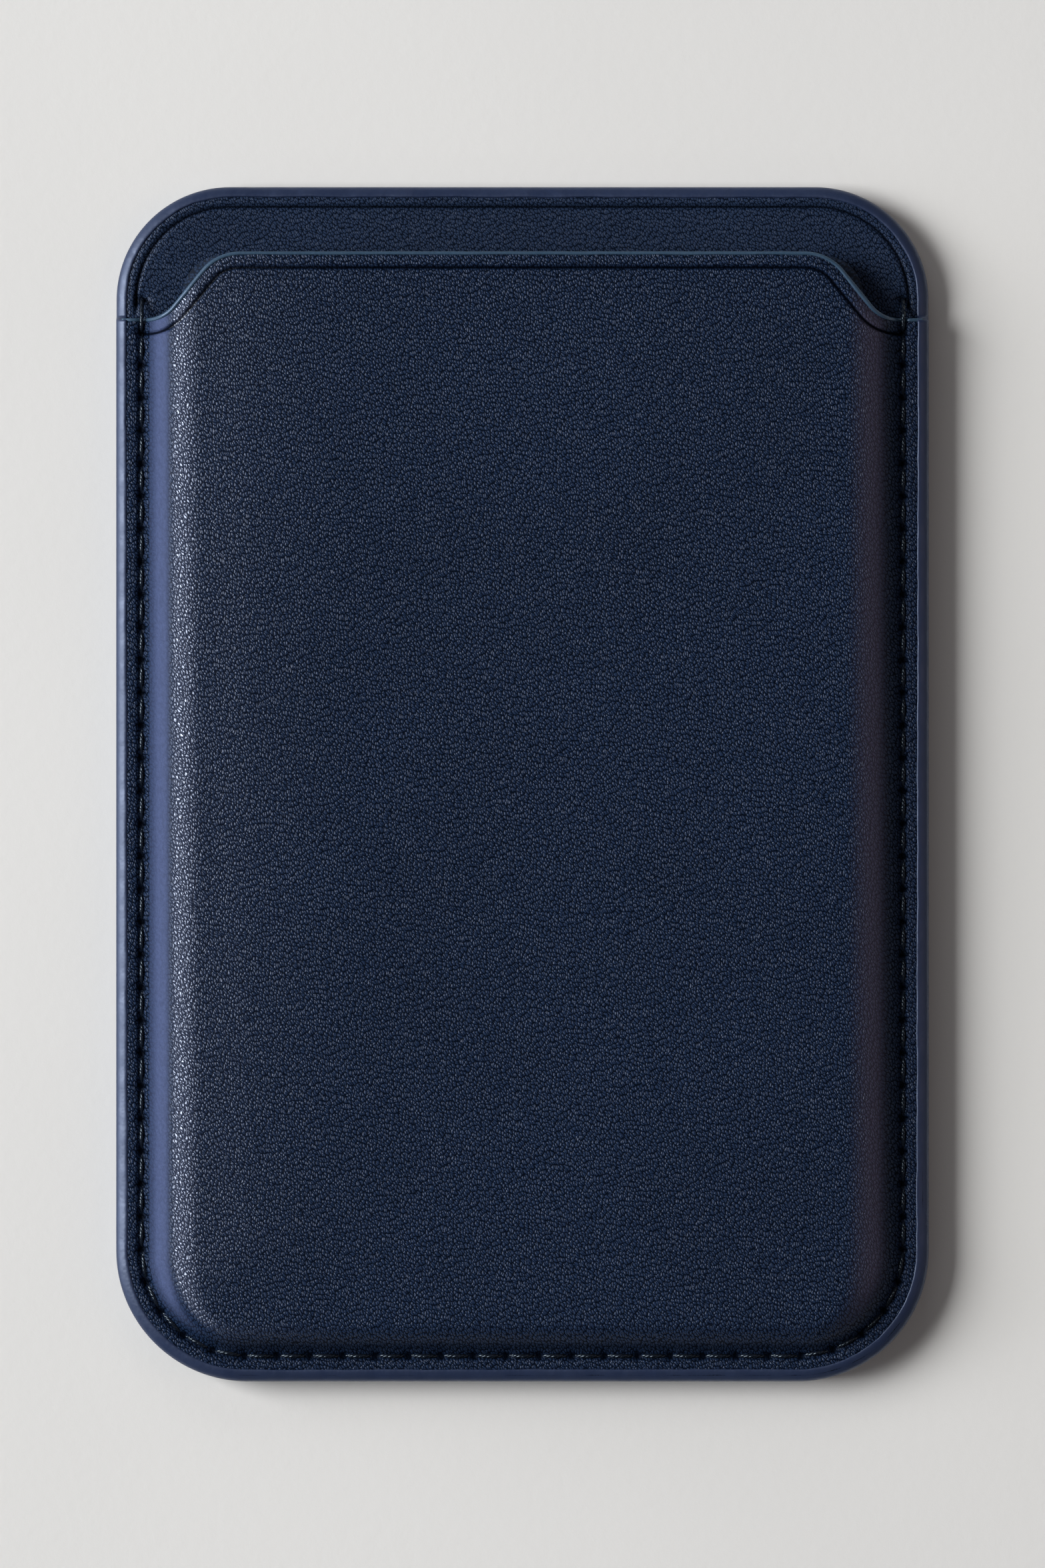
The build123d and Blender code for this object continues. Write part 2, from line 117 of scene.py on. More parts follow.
# Finish of the slopes: pressed smooth low down with a painted sheen, rolled glossy above that on the left
# with a painted highlight, and a painted warm reflection on the right. Places on a slope run from 0 at
# its foot to 1 where it has levelled out; places along X are in millimetres.
PRESSED_SHEEN_END = 0.4
LEFT_FADE = 0.14
FAR_FADE = 0.38
FAR_LOSS = 0.75
ROLLED_HIGHLIGHT_START = PRESSED_SHEEN_END - 0.04
ROLLED_HIGHLIGHT_FULL = PRESSED_SHEEN_END + 0.16
CROWN_LOSS = 0.86
ROLLED_HIGHLIGHT_FADE_X = (-26.0, -12.0)
WARM_REFLECTION_RISE = (0.1, 0.42)
WARM_REFLECTION_FALL = (0.45, 0.95)
WARM_REFLECTION_START_X = (10.0, 20.0)

# Stitched seam
SEAM_INSET = 2.05
STITCH_PITCH = 2.6
FIRST_HOLE_Y = TOP - TOP_CORNER
GROOVE_HALF_WIDTH = 0.3
FRONT_GROOVE_DEPTH = 0.27
REAR_GROOVE_DEPTH = 0.42
HOLE_RADIUS = 0.46
HOLE_DEPTH = 0.14
OPEN_HOLE_DEPTH = 0.4
SEAM_SHADE = 0.72
REAR_HOLE_DEPTH = 0.1

# Creases
MOUTH_CREASE = 1.3
TOP_CREASE = 1.6
CREASE_HALF_WIDTH = 0.15
CREASE_DEPTH = 0.2
SLOPE_CREASE_DEPTH = 0.3

# Thumb slot: its corners, the fall of the leather towards it, and the width of its paint
SLOT_RADIUS = 4.4
SLOT_DROP = 0.1
SLOT_DROP_END = 0.6
SLOT_PAINT = 0.3

# BEYOND carries an outline past the wallet's top, so that only its sides and bottom count. The other
# two are the distances given to points that lie too far from a needle hole or the mouth to matter.
BEYOND = 100.0
FAR_AWAY = 9.0
MOUTH_FAR = 12.0


def smoothstep(value, low, high):
    """0 below low and 1 above high, with a smooth rise between."""
    t = np.clip((value - low) / (high - low), 0, 1)
    return t * t * (3 - 2 * t)


def ripple(x, y, wavelength, phase=0.0):
    """A gentle uneven wave between -1 and 1 that doesn't repeat within the wallet."""
    k = 2 * math.pi / wavelength
    return (
        np.sin(k * (x + 0.31 * y) + phase)
        + np.sin(k * (0.83 * y - 0.42 * x) + 1.7 + 2 * phase)
        + np.sin(k * 1.63 * (0.57 * x + 0.78 * y) + 0.6 - phase)
    ) / 3


# ---------------------------------------------------------------- paths and distances


ARC_POINTS = 40


def filleted(corners, radii, closed):
    """Dense points along a line of corners, each rounded to its radius."""
    count = len(corners)
    points = []
    for i, (corner, radius) in enumerate(zip(corners, radii)):
        corner = np.array(corner, float)
        if radius == 0 or (not closed and i in (0, count - 1)):
            points.append(corner)
            continue
        before = np.array(corners[i - 1], float) - corner
        after = np.array(corners[(i + 1) % count], float) - corner
        before /= np.linalg.norm(before)
        after /= np.linalg.norm(after)
        half_angle = math.acos(np.clip(before @ after, -1, 1)) / 2
        middle = (before + after) / np.linalg.norm(before + after)
        centre = corner + middle * radius / math.sin(half_angle)
        start = corner + before * radius / math.tan(half_angle) - centre
        end = corner + after * radius / math.tan(half_angle) - centre
        sweep = math.atan2(start[0] * end[1] - start[1] * end[0], start @ end)
        for t in np.linspace(0, 1, ARC_POINTS):
            c, s = math.cos(sweep * t), math.sin(sweep * t)
            points.append(centre + np.array([c * start[0] - s * start[1], s * start[0] + c * start[1]]))
    return np.array(points)


def evenly(points, spacing, closed):
    """The same line with points about spacing apart."""
    if closed:
        points = np.vstack([points, points[:1]])
    run = np.concatenate([[0], np.cumsum(np.hypot(*np.diff(points, axis=0).T))])
    count = max(2, int(round(run[-1] / spacing)))
    at = np.linspace(0, run[-1], count + 1)
    even = np.column_stack([np.interp(at, run, points[:, i]) for i in (0, 1)])
    return even[:-1] if closed else even


def left_normals(points, closed):
    """Unit normals on the left of a line."""
    if closed:
        along = np.roll(points, -1, axis=0) - np.roll(points, 1, axis=0)
    else:
        along = np.gradient(points, axis=0)
    along /= np.hypot(*along.T)[:, None]
    return np.column_stack([-along[:, 1], along[:, 0]])


def wallet_loop(inset, spacing):
    """The wallet's outline, inset, anticlockwise from the front."""
    side, low, high = HALF_WIDTH - inset, BOTTOM + inset, TOP - inset
    corners = [(-side, low), (side, low), (side, high), (-side, high)]
    bottom_radius, top_radius = BOTTOM_CORNER - inset, TOP_CORNER - inset
    return evenly(filleted(corners, [bottom_radius] * 2 + [top_radius] * 2, True), spacing, True)


def slot_loop(grow, spacing):
    """The thumb slot's outline, grown, anticlockwise from the front."""
    low, high = SLOT_LOW[:2] - grow, SLOT_HIGH[:2] + grow
    corners = [(low[0], low[1]), (high[0], low[1]), (high[0], high[1]), (low[0], high[1])]
    radius = (high[1] - low[1]) / 2 - 0.01
    return evenly(filleted(corners, [radius] * 4, True), spacing, True)


def flange_line(inset, spacing, top_y):
    """Down the left side at an inset, round the bottom and up the right side."""
    side, low = HALF_WIDTH - inset, BOTTOM + inset
    corners = [(-side, top_y), (-side, low), (side, low), (side, top_y)]
    radii = [0, BOTTOM_CORNER - inset, BOTTOM_CORNER - inset, 0]
    return evenly(filleted(corners, radii, False), spacing, False)


def mouth_line(inset, spacing, reach):
    """The mouth's cut line from left to right, moved down into the leather by an inset."""
    corners = [
        (-reach, SHOULDER_Y),
        (-SHOULDER_FOOT_X, SHOULDER_Y),
        (-SHOULDER_TOP_X, MOUTH_Y),
        (SHOULDER_TOP_X, MOUTH_Y),
        (SHOULDER_FOOT_X, SHOULDER_Y),
        (reach, SHOULDER_Y),
    ]
    radii = [0, SHOULDER_FOOT_RADIUS, SHOULDER_TOP_RADIUS, SHOULDER_TOP_RADIUS, SHOULDER_FOOT_RADIUS, 0]
    line = evenly(filleted(corners, radii, False), spacing / 3, False)
    moved = line - left_normals(line, False) * inset
    return evenly(moved, spacing, False)


def rounded_inset(x, y, half_width, low, high, low_radius, high_radius):
    """How far inside a rounded rectangle each point lies."""
    middle = (low + high) / 2
    radius = np.where(y < middle, low_radius, high_radius)
    qx = np.abs(x) - half_width + radius
    qy = np.abs(y - middle) - (high - low) / 2 + radius
    outside = np.hypot(np.maximum(qx, 0), np.maximum(qy, 0))
    return radius - outside - np.minimum(np.maximum(qx, qy), 0)


def wallet_inset(x, y):
    """How far inside the wallet's outline each point lies."""
    return rounded_inset(x, y, HALF_WIDTH, BOTTOM, TOP, BOTTOM_CORNER, TOP_CORNER)


def flange_inset(x, y):
    """How far each point lies from the side and bottom edges alone."""
    return rounded_inset(x, y, HALF_WIDTH, BOTTOM, TOP + BEYOND, BOTTOM_CORNER, BOTTOM_CORNER)


def slot_clearance(x, y):
    """How far outside the thumb slot each point lies."""
    return -rounded_inset(x, y, SLOT_HIGH[0], SLOT_LOW[1], SLOT_HIGH[1], SLOT_RADIUS, SLOT_RADIUS)


MOUTH_GUIDE = mouth_line(0, 0.25, HALF_WIDTH + 6)


def mouth_inset(x, y):
    """How far below the mouth line each point lies."""
    result = np.full(x.shape, MOUTH_FAR)
    near = np.flatnonzero(y > SHOULDER_Y - MOUTH_FAR)
    a, b = MOUTH_GUIDE[:-1], MOUTH_GUIDE[1:]
    along = b - a
    length2 = (along**2).sum(1)
    for chunk in np.array_split(near, max(1, len(near) // 4000)):
        p = np.column_stack([x[chunk], y[chunk]])[:, None, :]
        t = np.clip(((p - a) * along).sum(2) / length2, 0, 1)
        gap = np.sqrt((((a + t[..., None] * along) - p) ** 2).sum(2)).min(1)
        below = y[chunk] < np.interp(x[chunk], MOUTH_GUIDE[:, 0], MOUTH_GUIDE[:, 1])
        result[chunk] = np.where(below, gap, -gap)
    return result


def needle_holes():
    """The seam's needle holes, evenly spaced as in the CAD."""
    line = flange_line(SEAM_INSET, 0.05, FIRST_HOLE_Y)
    run = np.concatenate([[0], np.cumsum(np.hypot(*np.diff(line, axis=0).T))])
    count = math.ceil(run[-1] / STITCH_PITCH)
    at = np.linspace(0, run[-1], count + 1)
    return np.column_stack([np.interp(at, run, line[:, i]) for i in (0, 1)])


HOLES = needle_holes()


def hole_distance(x, y):
    """The distance from each point to the nearest needle hole."""
    nearest = np.full(x.shape, FAR_AWAY)
    for hole in HOLES:
        nearest = np.minimum(nearest, np.hypot(x - hole[0], y - hole[1]))
    return nearest


# ---------------------------------------------------------------- surfaces


def bell(value, half_width):
    """1 at zero, falling smoothly to nothing past the half width, with a flat middle."""
    return np.exp(-((value / half_width) ** 2) ** 1.4)


def seam_mark(x, y):
    """1 on the floor of the stitch groove, below the first needle hole."""
    started = 1 - smoothstep(y, FIRST_HOLE_Y + 0.1, FIRST_HOLE_Y + 0.5)
    return bell(flange_inset(x, y) - SEAM_INSET, GROOVE_HALF_WIDTH) * started


def hole_mark(x, y):
    """1 at the middle of each needle hole."""
    return bell(hole_distance(x, y), HOLE_RADIUS)


def facing_bottom(x, y):
    """0 where the swell's slope faces a side and 1 where it faces the bottom."""
    right = np.abs(x) - (HALF_WIDTH - SIDE_FOOT - FOOT_CORNER)
    down = (BOTTOM + BOTTOM_FOOT + FOOT_CORNER) - y
    turn = np.arctan2(np.maximum(down, 1e-6), np.maximum(right, 1e-6)) / (math.pi / 2)
    return smoothstep(turn, 0.1, 0.9)


def swell_run(x, y):
    """How far up the swell's slope each point lies: 0 at its foot and 1 where it has levelled out."""
    foot_low = BOTTOM + BOTTOM_FOOT
    inset = rounded_inset(x, y, HALF_WIDTH - SIDE_FOOT, foot_low, TOP + BEYOND, FOOT_CORNER, FOOT_CORNER)
    run = SIDE_RUN + (BOTTOM_RUN - SIDE_RUN) * facing_bottom(x, y)
    soft_inset = (inset + np.sqrt(inset**2 + FOOT_SOFTNESS**2)) / 2
    return np.clip(soft_inset / run, 0, 1)


def swell_share(run):
    """The share of the full swell height at a place on the slope."""
    return 1 - (1 - run) ** SWELL_POWER


def pillow(x, y):
    """The slight fall of the leather from the wallet's middle to its sides."""
    middle_y = (TOP + BOTTOM) / 2
    share = (x / PILLOW_REACH_X) ** 2 + 0.5 * ((y - middle_y) / PILLOW_REACH_Y) ** 2
    return PILLOW_DEPTH * np.clip(share, 0, 1.5)


def mouth_crease_mark(x, y, mouth):
    """1 on the crease that follows the mouth, fading out at the seam."""
    return bell(mouth - MOUTH_CREASE, CREASE_HALF_WIDTH) * smoothstep(flange_inset(x, y), 1.9, 2.3)


def slope_finish_and_painted_light(x, y, run):
    """Where the swell's slope is pressed smooth with a painted sheen, rolled glossy with a painted highlight
    on the left, and given a painted warm reflection on the right.
    """
    bottom = facing_bottom(x, y)
    # Painted sheen and highlight are weaker on the right and bottom slopes, which face away from the key
    # light.
    far = np.maximum(bottom, smoothstep(x, -10, 10))
    kept = 1 - FAR_LOSS * far
    fade = LEFT_FADE + (FAR_FADE - LEFT_FADE) * far
    pressed_sheen = smoothstep(run, 0.02, 0.06) * (1 - smoothstep(run, PRESSED_SHEEN_END - fade, PRESSED_SHEEN_END + fade))
    pressed_sheen *= (0.5 + 0.5 * smoothstep(run, 0.05, 0.3)) * kept
    # Painted highlight: the rolled band is glossier and tinted paler, held to the left, lit side.
    rolled = smoothstep(run, ROLLED_HIGHLIGHT_START, ROLLED_HIGHLIGHT_FULL) * (1 - CROWN_LOSS * smoothstep(run, 0.6, 1.0))
    rolled *= kept * (1 - smoothstep(x, *ROLLED_HIGHLIGHT_FADE_X))
    # Painted reflection: a warm band on the right slope.
    warm_reflection = smoothstep(run, *WARM_REFLECTION_RISE) * (1 - smoothstep(run, *WARM_REFLECTION_FALL))
    warm_reflection *= smoothstep(x, *WARM_REFLECTION_START_X) * (1 - bottom)
    return {"pressed_sheen": pressed_sheen, "rolled": rolled, "warm_reflection": warm_reflection}


def edge_drop(edge):
    """How far a leather face falls towards the wallet's rim."""
    return EDGE_DROP * (1 - smoothstep(edge, LEATHER_INSET, EDGE_DROP_END))


def front_surface(x, y):
    """Height of the front leather's face, and the marks that its finish and its painted shade, sheen,
    highlight and reflection follow.
    """
    mouth = mouth_inset(x, y)
    run = swell_run(x, y)
    share = swell_share(run)
    steep = 1 - smoothstep(share, 0.75, 1.0)
    crease = mouth_crease_mark(x, y, mouth)
    seam = seam_mark(x, y)
    holes = hole_mark(x, y)
    height = FLANGE_Z + (CROWN_Z - FLANGE_Z) * share
    height -= crease * (CREASE_DEPTH + (SLOPE_CREASE_DEPTH - CREASE_DEPTH) * steep)
    height -= FRONT_GROOVE_DEPTH * seam + HOLE_DEPTH * holes
    height -= MOUTH_DROP * (1 - smoothstep(mouth, MOUTH_PAINT, MOUTH_DROP_END))
    height -= edge_drop(flange_inset(x, y))
    wave = WAVE_DEPTH + WAVE_DEPTH * ripple(x, y, WAVE_LENGTH)
    height -= (pillow(x, y) + wave) * smoothstep(share, 0.5, 1.0)
    # Painted shade: the seam groove, needle holes and crease are marked for darkening in the leather's
    # colour.
    groove = np.clip(np.maximum(np.maximum(SEAM_SHADE * seam, holes), crease), 0, 1)
    return height, {"groove": groove, **slope_finish_and_painted_light(x, y, run)}


def inner_surface(x, y):
    """Height of the inner leather's face, and the marks that its finish and its painted shade in creases and
    holes follow.
    """
    edge = wallet_inset(x, y)
    started = smoothstep(y, FIRST_HOLE_Y - 1.5, FIRST_HOLE_Y - 0.4)
    crease = bell(edge - TOP_CREASE, CREASE_HALF_WIDTH) * started
    holes = hole_mark(x, y)
    height = FLOOR_Z - CREASE_DEPTH * crease - OPEN_HOLE_DEPTH * holes
    height -= edge_drop(edge)
    height -= 0.02 + 0.02 * ripple(x, y, 11, 1.0)
    return height, {"groove": np.clip(np.maximum(crease, holes), 0, 1)}


def rear_surface(x, y):
    """Height of the rear leather's face, and the marks that its finish and its painted shade in the seam
    groove follow.
    """
    seam = seam_mark(x, y)
    height = REAR_GROOVE_DEPTH * seam + REAR_HOLE_DEPTH * hole_mark(x, y)
    height += edge_drop(wallet_inset(x, y))
    height += SLOT_DROP * (1 - smoothstep(slot_clearance(x, y), 0, SLOT_DROP_END))
    return height, {"groove": seam}


# ---------------------------------------------------------------- meshes


def make_object(name, vertices, faces):
    """A smooth-shaded mesh object from millimetre vertices."""
    mesh = bpy.data.meshes.new(name)
    mesh.from_pydata((np.asarray(vertices) * MM).tolist(), [], faces)
    mesh.validate()
    mesh.update()
    mesh.shade_smooth()
    piece = bpy.data.objects.new(name, mesh)
    bpy.context.scene.collection.objects.link(piece)
    return piece


def triangulate(loops, points):
    """Triangles over the area inside the first loop and outside the others, anticlockwise."""
    vertices = np.vstack(loops + [points])
    edges, start = [], 0
    for loop in loops:
        count = len(loop)
        edges += [(start + i, start + (i + 1) % count) for i in range(count)]
        start += count
    flat, _, triangles, *_ = delaunay_2d_cdt([Vector(v) for v in vertices], edges, [], 1, 1e-6, False)
    flat = np.array([tuple(v) for v in flat])
    triangles = np.array([t for t in triangles if len(t) == 3])
    spanning = np.flatnonzero((triangles < start).all(1))
    middles = flat[triangles[spanning]].mean(1)
    stray = ~inside_polygon(middles, loops[0])
    for hole in loops[1:]:
        stray |= inside_polygon(middles, hole)
    triangles = np.delete(triangles, spanning[stray], axis=0)
    a, b, c = (flat[triangles[:, i]] for i in range(3))
    area = (b[:, 0] - a[:, 0]) * (c[:, 1] - a[:, 1]) - (b[:, 1] - a[:, 1]) * (c[:, 0] - a[:, 0])
    triangles[area < 0] = triangles[area < 0][:, ::-1]
    return flat, triangles


def inside_polygon(points, polygon):
    """Which points lie inside a closed polygon."""
    inside = np.zeros(len(points), bool)
    x, y = points.T
    for (ax, ay), (bx, by) in zip(polygon, np.roll(polygon, -1, axis=0)):
        crosses = (ay > y) != (by > y)
        if ay != by:
            inside ^= crosses & (x < (bx - ax) * (y - ay) / (by - ay) + ax)
    return inside


def closed_sheet(name, loops, fine_points, face, coarse_points, back_z, fine_is_top=True):
    """A closed leather sheet: one finely shaped face, a plain back and walls along its loops."""
    fine, fine_triangles = triangulate(loops, fine_points)
    coarse, coarse_triangles = triangulate(loops, coarse_points)
    height, marks = face(fine[:, 0], fine[:, 1])
    back = back_z(coarse[:, 0], coarse[:, 1])
    vertices = np.vstack([np.column_stack([fine, height]), np.column_stack([coarse, back])])
    shift = len(fine)
    if not fine_is_top:
        fine_triangles, coarse_triangles = fine_triangles[:, ::-1], coarse_triangles[:, ::-1]
    faces = fine_triangles.tolist() + (coarse_triangles[:, ::-1] + shift).tolist()
    start = 0
    for loop in loops:
        count = len(loop)
        for i in range(count):
            a, b = start + i, start + (i + 1) % count
            wall = (b, a, a + shift, b + shift)
            outward = (loop is loops[0]) == fine_is_top
            faces.append(wall if outward else wall[::-1])
        start += count
    piece = make_object(name, vertices, faces)
    for mark, values in marks.items():
        attribute = piece.data.attributes.new(mark, "FLOAT", "POINT")
        all_values = np.concatenate([values, np.zeros(len(coarse))])
        attribute.data.foreach_set("value", all_values.astype(np.float32))
    return piece


def swept_bead(name, line, normals, profiles, closed):
    """A bead along a line. Each profile is a closed ring of (inset, height) pairs."""
    count, ring = len(line), profiles.shape[1]
    vertices = np.zeros((count, ring, 3))
    vertices[:, :, :2] = line[:, None, :] + normals[:, None, :] * profiles[:, :, :1]
    vertices[:, :, 2] = profiles[:, :, 1]
    faces = []
    for i in range(count if closed else count - 1):
        j = (i + 1) % count
        for k in range(ring):
            m = (k + 1) % ring
            faces.append((i * ring + k, j * ring + k, j * ring + m, i * ring + m))
    if not closed:
        faces.append(tuple(range(ring)))
        faces.append(tuple(range((count - 1) * ring, count * ring))[::-1])
    return make_object(name, vertices.reshape(-1, 3), faces)


# ---------------------------------------------------------------- leather pieces

NO_POINTS = np.zeros((0, 2))

# Depths of the front layers' undersides below the front leather's smooth face
FRONT_LEATHER = 0.48
STIFFENER_BOTTOM = 0.61
LINING_BOTTOM = 0.7

# Distances from the edge of the rows of points on the layers' hidden faces
LAYER_INSETS = (1.4, 2.2, 2.6, 3.0, 3.5, 4.1, 4.9, 6.0, 7.2)

# Bands of rows of points on the flange and the slope: first and last inset, step from row to row, and
# spacing along a row
FLANGE_BANDS = (
    (0.6, 1.4, 0.14, 0.4),
    (1.45, 2.75, 0.075, 0.13),
    (2.83, 5.0, 0.11, 0.3),
    (5.2, 8.6, 0.35, 0.6),
)


def grid_points(spacing, low, high):
    """A plain grid of points."""
    xs = np.arange(low[0], high[0], spacing)
    ys = np.arange(low[1], high[1], spacing)
    gx, gy = np.meshgrid(xs, ys)
    return np.column_stack([gx.ravel(), gy.ravel()])


def flange_rows():
    """Points that follow the side and bottom edges, dense at the seam and on the slope."""
    rows = []
    for first, last, step, spacing in FLANGE_BANDS:
        for inset in np.arange(first, last, step):
            rows.append(flange_line(inset, spacing, MOUTH_Y - 1))
    return np.vstack(rows)


def mouth_rows():
    """Points that follow the mouth line, dense at its crease."""
    insets = np.arange(0.27, 2.3, 0.075)
    return np.vstack([mouth_line(inset, 0.13, HALF_WIDTH) for inset in insets])


def front_loop(spacing):
    """The front layers' outline: up the sides, round the bottom and along the mouth."""
    sides = flange_line(LEATHER_INSET, spacing * 1.5, SHOULDER_Y - MOUTH_PAINT)
    mouth = mouth_line(MOUTH_PAINT, spacing, HALF_WIDTH - LEATHER_INSET)[::-1]
    return np.vstack([sides, mouth[1:-1]])


def layer_points():
    """Points for the hidden faces of the front layers, closer together on the swell's slope."""
    rows = np.vstack([flange_line(inset, 0.8, MOUTH_Y - 1) for inset in LAYER_INSETS])
    rows = rows[mouth_inset(*rows.T) > 1.6]
    lines = np.vstack([mouth_line(inset, 0.5, HALF_WIDTH) for inset in (0.6, 1.2)])
    lines = lines[flange_inset(*lines.T) > LEATHER_INSET + 0.4]
    grid = grid_points(3.0, (-HALF_WIDTH, BOTTOM), (HALF_WIDTH, TOP))
    grid = grid[(flange_inset(*grid.T) > 8.0) & (mouth_inset(*grid.T) > 2.6)]
    return np.vstack([rows, lines, grid])


def layer_height(depth):
    """The height of a surface at a depth under the front leather's smooth face."""

    def height(x, y):
        return FLANGE_Z - depth + (CROWN_Z - FLANGE_Z) * swell_share(swell_run(x, y)) - pillow(x, y)

    return height


def front_leather():
    """The moulded front leather."""
    rows = flange_rows()
    rows = rows[mouth_inset(*rows.T) > 2.3]
    lines = mouth_rows()
    lines = lines[flange_inset(*lines.T) > LEATHER_INSET + 0.08]
    grid = grid_points(1.1, (-HALF_WIDTH, BOTTOM), (HALF_WIDTH, TOP))
    grid = grid[(flange_inset(*grid.T) > 8.8) & (mouth_inset(*grid.T) > 2.6)]
    fine_points = np.vstack([rows, lines, grid])
    loops = [front_loop(0.13)]
    back = layer_height(FRONT_LEATHER)
    return closed_sheet("front_leather", loops, fine_points, front_surface, layer_points(), back)


def front_layer(name, top_depth, bottom_depth):
    """A thin layer under the front leather that follows its swell."""
    points = layer_points()
    top = layer_height(top_depth)

    def face(x, y):
        return top(x, y), {}

    return closed_sheet(name, [front_loop(0.4)], points, face, points, layer_height(bottom_depth))


def flat_at(z):
    """The height of a level surface."""
    return lambda x, y: np.full(x.shape, z)


def inner_leather():
    """The inner leather, which shows above the mouth and through it."""
    loops = [wallet_loop(LEATHER_INSET, 0.25), slot_loop(-SLOT_PAINT, 0.4)]
    rows = np.vstack([wallet_loop(inset, 0.25) for inset in np.arange(0.6, 2.4, 0.08)])
    rows = rows[rows[:, 1] > SHOULDER_Y - 3]
    grid = grid_points(0.45, (-HALF_WIDTH, SHOULDER_Y - 3), (HALF_WIDTH, TOP))
    grid = grid[wallet_inset(*grid.T) > 2.5]
    return closed_sheet(
        "inner_leather", loops, np.vstack([rows, grid]), inner_surface, NO_POINTS, flat_at(INNER_LOW[2])
    )


def rear_leather():
    """The rear leather, which lies on the phone."""
    loops = [wallet_loop(LEATHER_INSET, 0.25), slot_loop(-SLOT_PAINT, 0.2)]
    rows = [wallet_loop(inset, 0.3) for inset in np.arange(0.6, 2.8, 0.1)]
    rows += [slot_loop(grow, 0.3) for grow in np.arange(-0.2, 0.9, 0.1)]
    grid = grid_points(1.3, (-HALF_WIDTH, BOTTOM), (HALF_WIDTH, TOP))
    grid = grid[(wallet_inset(*grid.T) > 3.0) & (slot_clearance(*grid.T) > 1.2)]
    points = np.vstack(rows + [grid])
    back = flat_at(REAR_TOP_Z)
    return closed_sheet("rear_leather", loops, points, rear_surface, NO_POINTS, back, fine_is_top=False)


# ---------------------------------------------------------------- edge paint

# Width of the painted rim: in the middle, and what it gains at the right and at the top
LIP = 0.96
LIP_RIGHT = 0.04
LIP_UP = -0.09

# The rim's section, from its inner edge over the crest, down the outside and under. Each point is a
# share of the rim's width and a height in millimetres, which RIM_TOP measures from the top of the
# leather there and RIM_FOOT from the rear face.
RIM_TOP = (
    (1.0, -0.22), (1.0, -0.07), (0.93, 0.0), (0.82, 0.01), (0.66, -0.04), (0.5, -0.11),
    (0.34, -0.2), (0.2, -0.3), (0.09, -0.42), (0.02, -0.58), (0.0, -0.9),
)
RIM_FOOT = (
    (0.0, 0.9), (0.03, 0.55), (0.14, 0.28), (0.34, 0.1), (0.6, 0.02), (0.85, 0.01), (0.85, 0.2),
)


def bead_profiles(section, lip):
    """A bead's profiles, from pairs of a share of its lip's width and a height along its line."""
    return np.stack([np.column_stack([share * lip, height]) for share, height in section], axis=1)


def edge_bead():
    """The rounded paint round the wallet's cut edge, with a step at each shoulder."""
    line = wallet_loop(0, 0.16)
    normals = left_normals(line, True)
    x, y = line.T
    top = FLANGE_Z + (FLOOR_Z - FLANGE_Z) * smoothstep(y, SHOULDER_Y - 0.15, SHOULDER_Y + 0.12)
    up = (2 * y - TOP - BOTTOM) / (TOP - BOTTOM)
    uneven = 0.04 * ripple(x, y, 5.3) + 0.02 * ripple(x, y, 1.9, 2.0)
    lip = LIP + LIP_RIGHT * x / HALF_WIDTH + LIP_UP * up + uneven
    crest = top + 0.012 * ripple(x, y, 3.1, 0.8)
    foot = np.zeros(len(line))
    section = [(share, crest + height) for share, height in RIM_TOP]
    section += [(share, foot + height) for share, height in RIM_FOOT]
    return swept_bead("edge_bead", line, normals, bead_profiles(section, lip)[:, ::-1], True)


def mouth_bead():
    """The paint on the mouth's cut edge."""
    line = mouth_line(0, 0.2, HALF_WIDTH - 0.45)
    normals = -left_normals(line, False)
    inner = line + normals * 0.4
    top = front_surface(*inner.T)[0]
    top = np.maximum(top, FLANGE_Z - 0.3)
    thick = FLANGE_Z - FLOOR_Z
    slope = np.clip(np.abs(np.gradient(line[:, 1]) / 0.2), 0, 1)
    lip = 0.29 + 0.07 * slope + 0.03 * ripple(*line.T, 4.1)
    shape = [
        (1.0, -0.1), (1.0, 0.0), (0.8, 0.045), (0.5, 0.05), (0.22, 0.0), (0.06, -0.12), (0.0, -0.3),
        (0.0, 0.3 - thick), (0.06, 0.12 - thick), (0.3, 0.02 - thick), (1.0, 0.02 - thick),
    ]
    section = [(share, top + height) for share, height in shape]
    return swept_bead("mouth_bead", line, normals, bead_profiles(section, lip), False)


def slot_bead():
    """The paint on the thumb slot's cut edge."""
    line = slot_loop(-SLOT_PAINT, 0.2)
    normals = -left_normals(line, True)
    shape = [
        (-0.3, 0.12), (-0.1, 0.05), (0.1, 0.08), (0.22, 0.2), (0.27, 0.45), (0.27, FLOOR_Z - 0.4),
        (0.2, FLOOR_Z - 0.15), (0.0, FLOOR_Z), (-0.3, FLOOR_Z),
    ]
    profiles = np.repeat(np.array(shape)[None, :, :], len(line), axis=0)
    profiles[:, :, 0] *= -1
    return swept_bead("slot_bead", line, normals, profiles[:, ::-1], True)


# ---------------------------------------------------------------- thread

# A thread is twisted from strands, each with a share of the thread's radius as its own
STRANDS = 3
STRAND_SIDES = 6
STRAND_SHARE = 0.74
STITCH_POINTS = 15
NEEDLE_RADIUS = 0.21
BOBBIN_RADIUS = 0.19
STITCH_TURNS = 2.1
BOBBIN_Z = 0.27


def smooth_line(points, count):
    """A smooth line through points, with count samples."""
    points = np.asarray(points, float)
    padded = np.vstack([2 * points[0] - points[1], points, 2 * points[-1] - points[-2]])
    at = np.linspace(0, len(points) - 1, count)
    index = np.minimum(at.astype(int), len(points) - 2)
    t = (at - index)[:, None]
    p0, p1, p2, p3 = (padded[index + i] for i in range(4))
    bend = 2 * p0 - 5 * p1 + 4 * p2 - p3
    twist = 3 * p1 - p0 - 3 * p2 + p3
    return 0.5 * (2 * p1 + (p2 - p0) * t + bend * t**2 + twist * t**3)


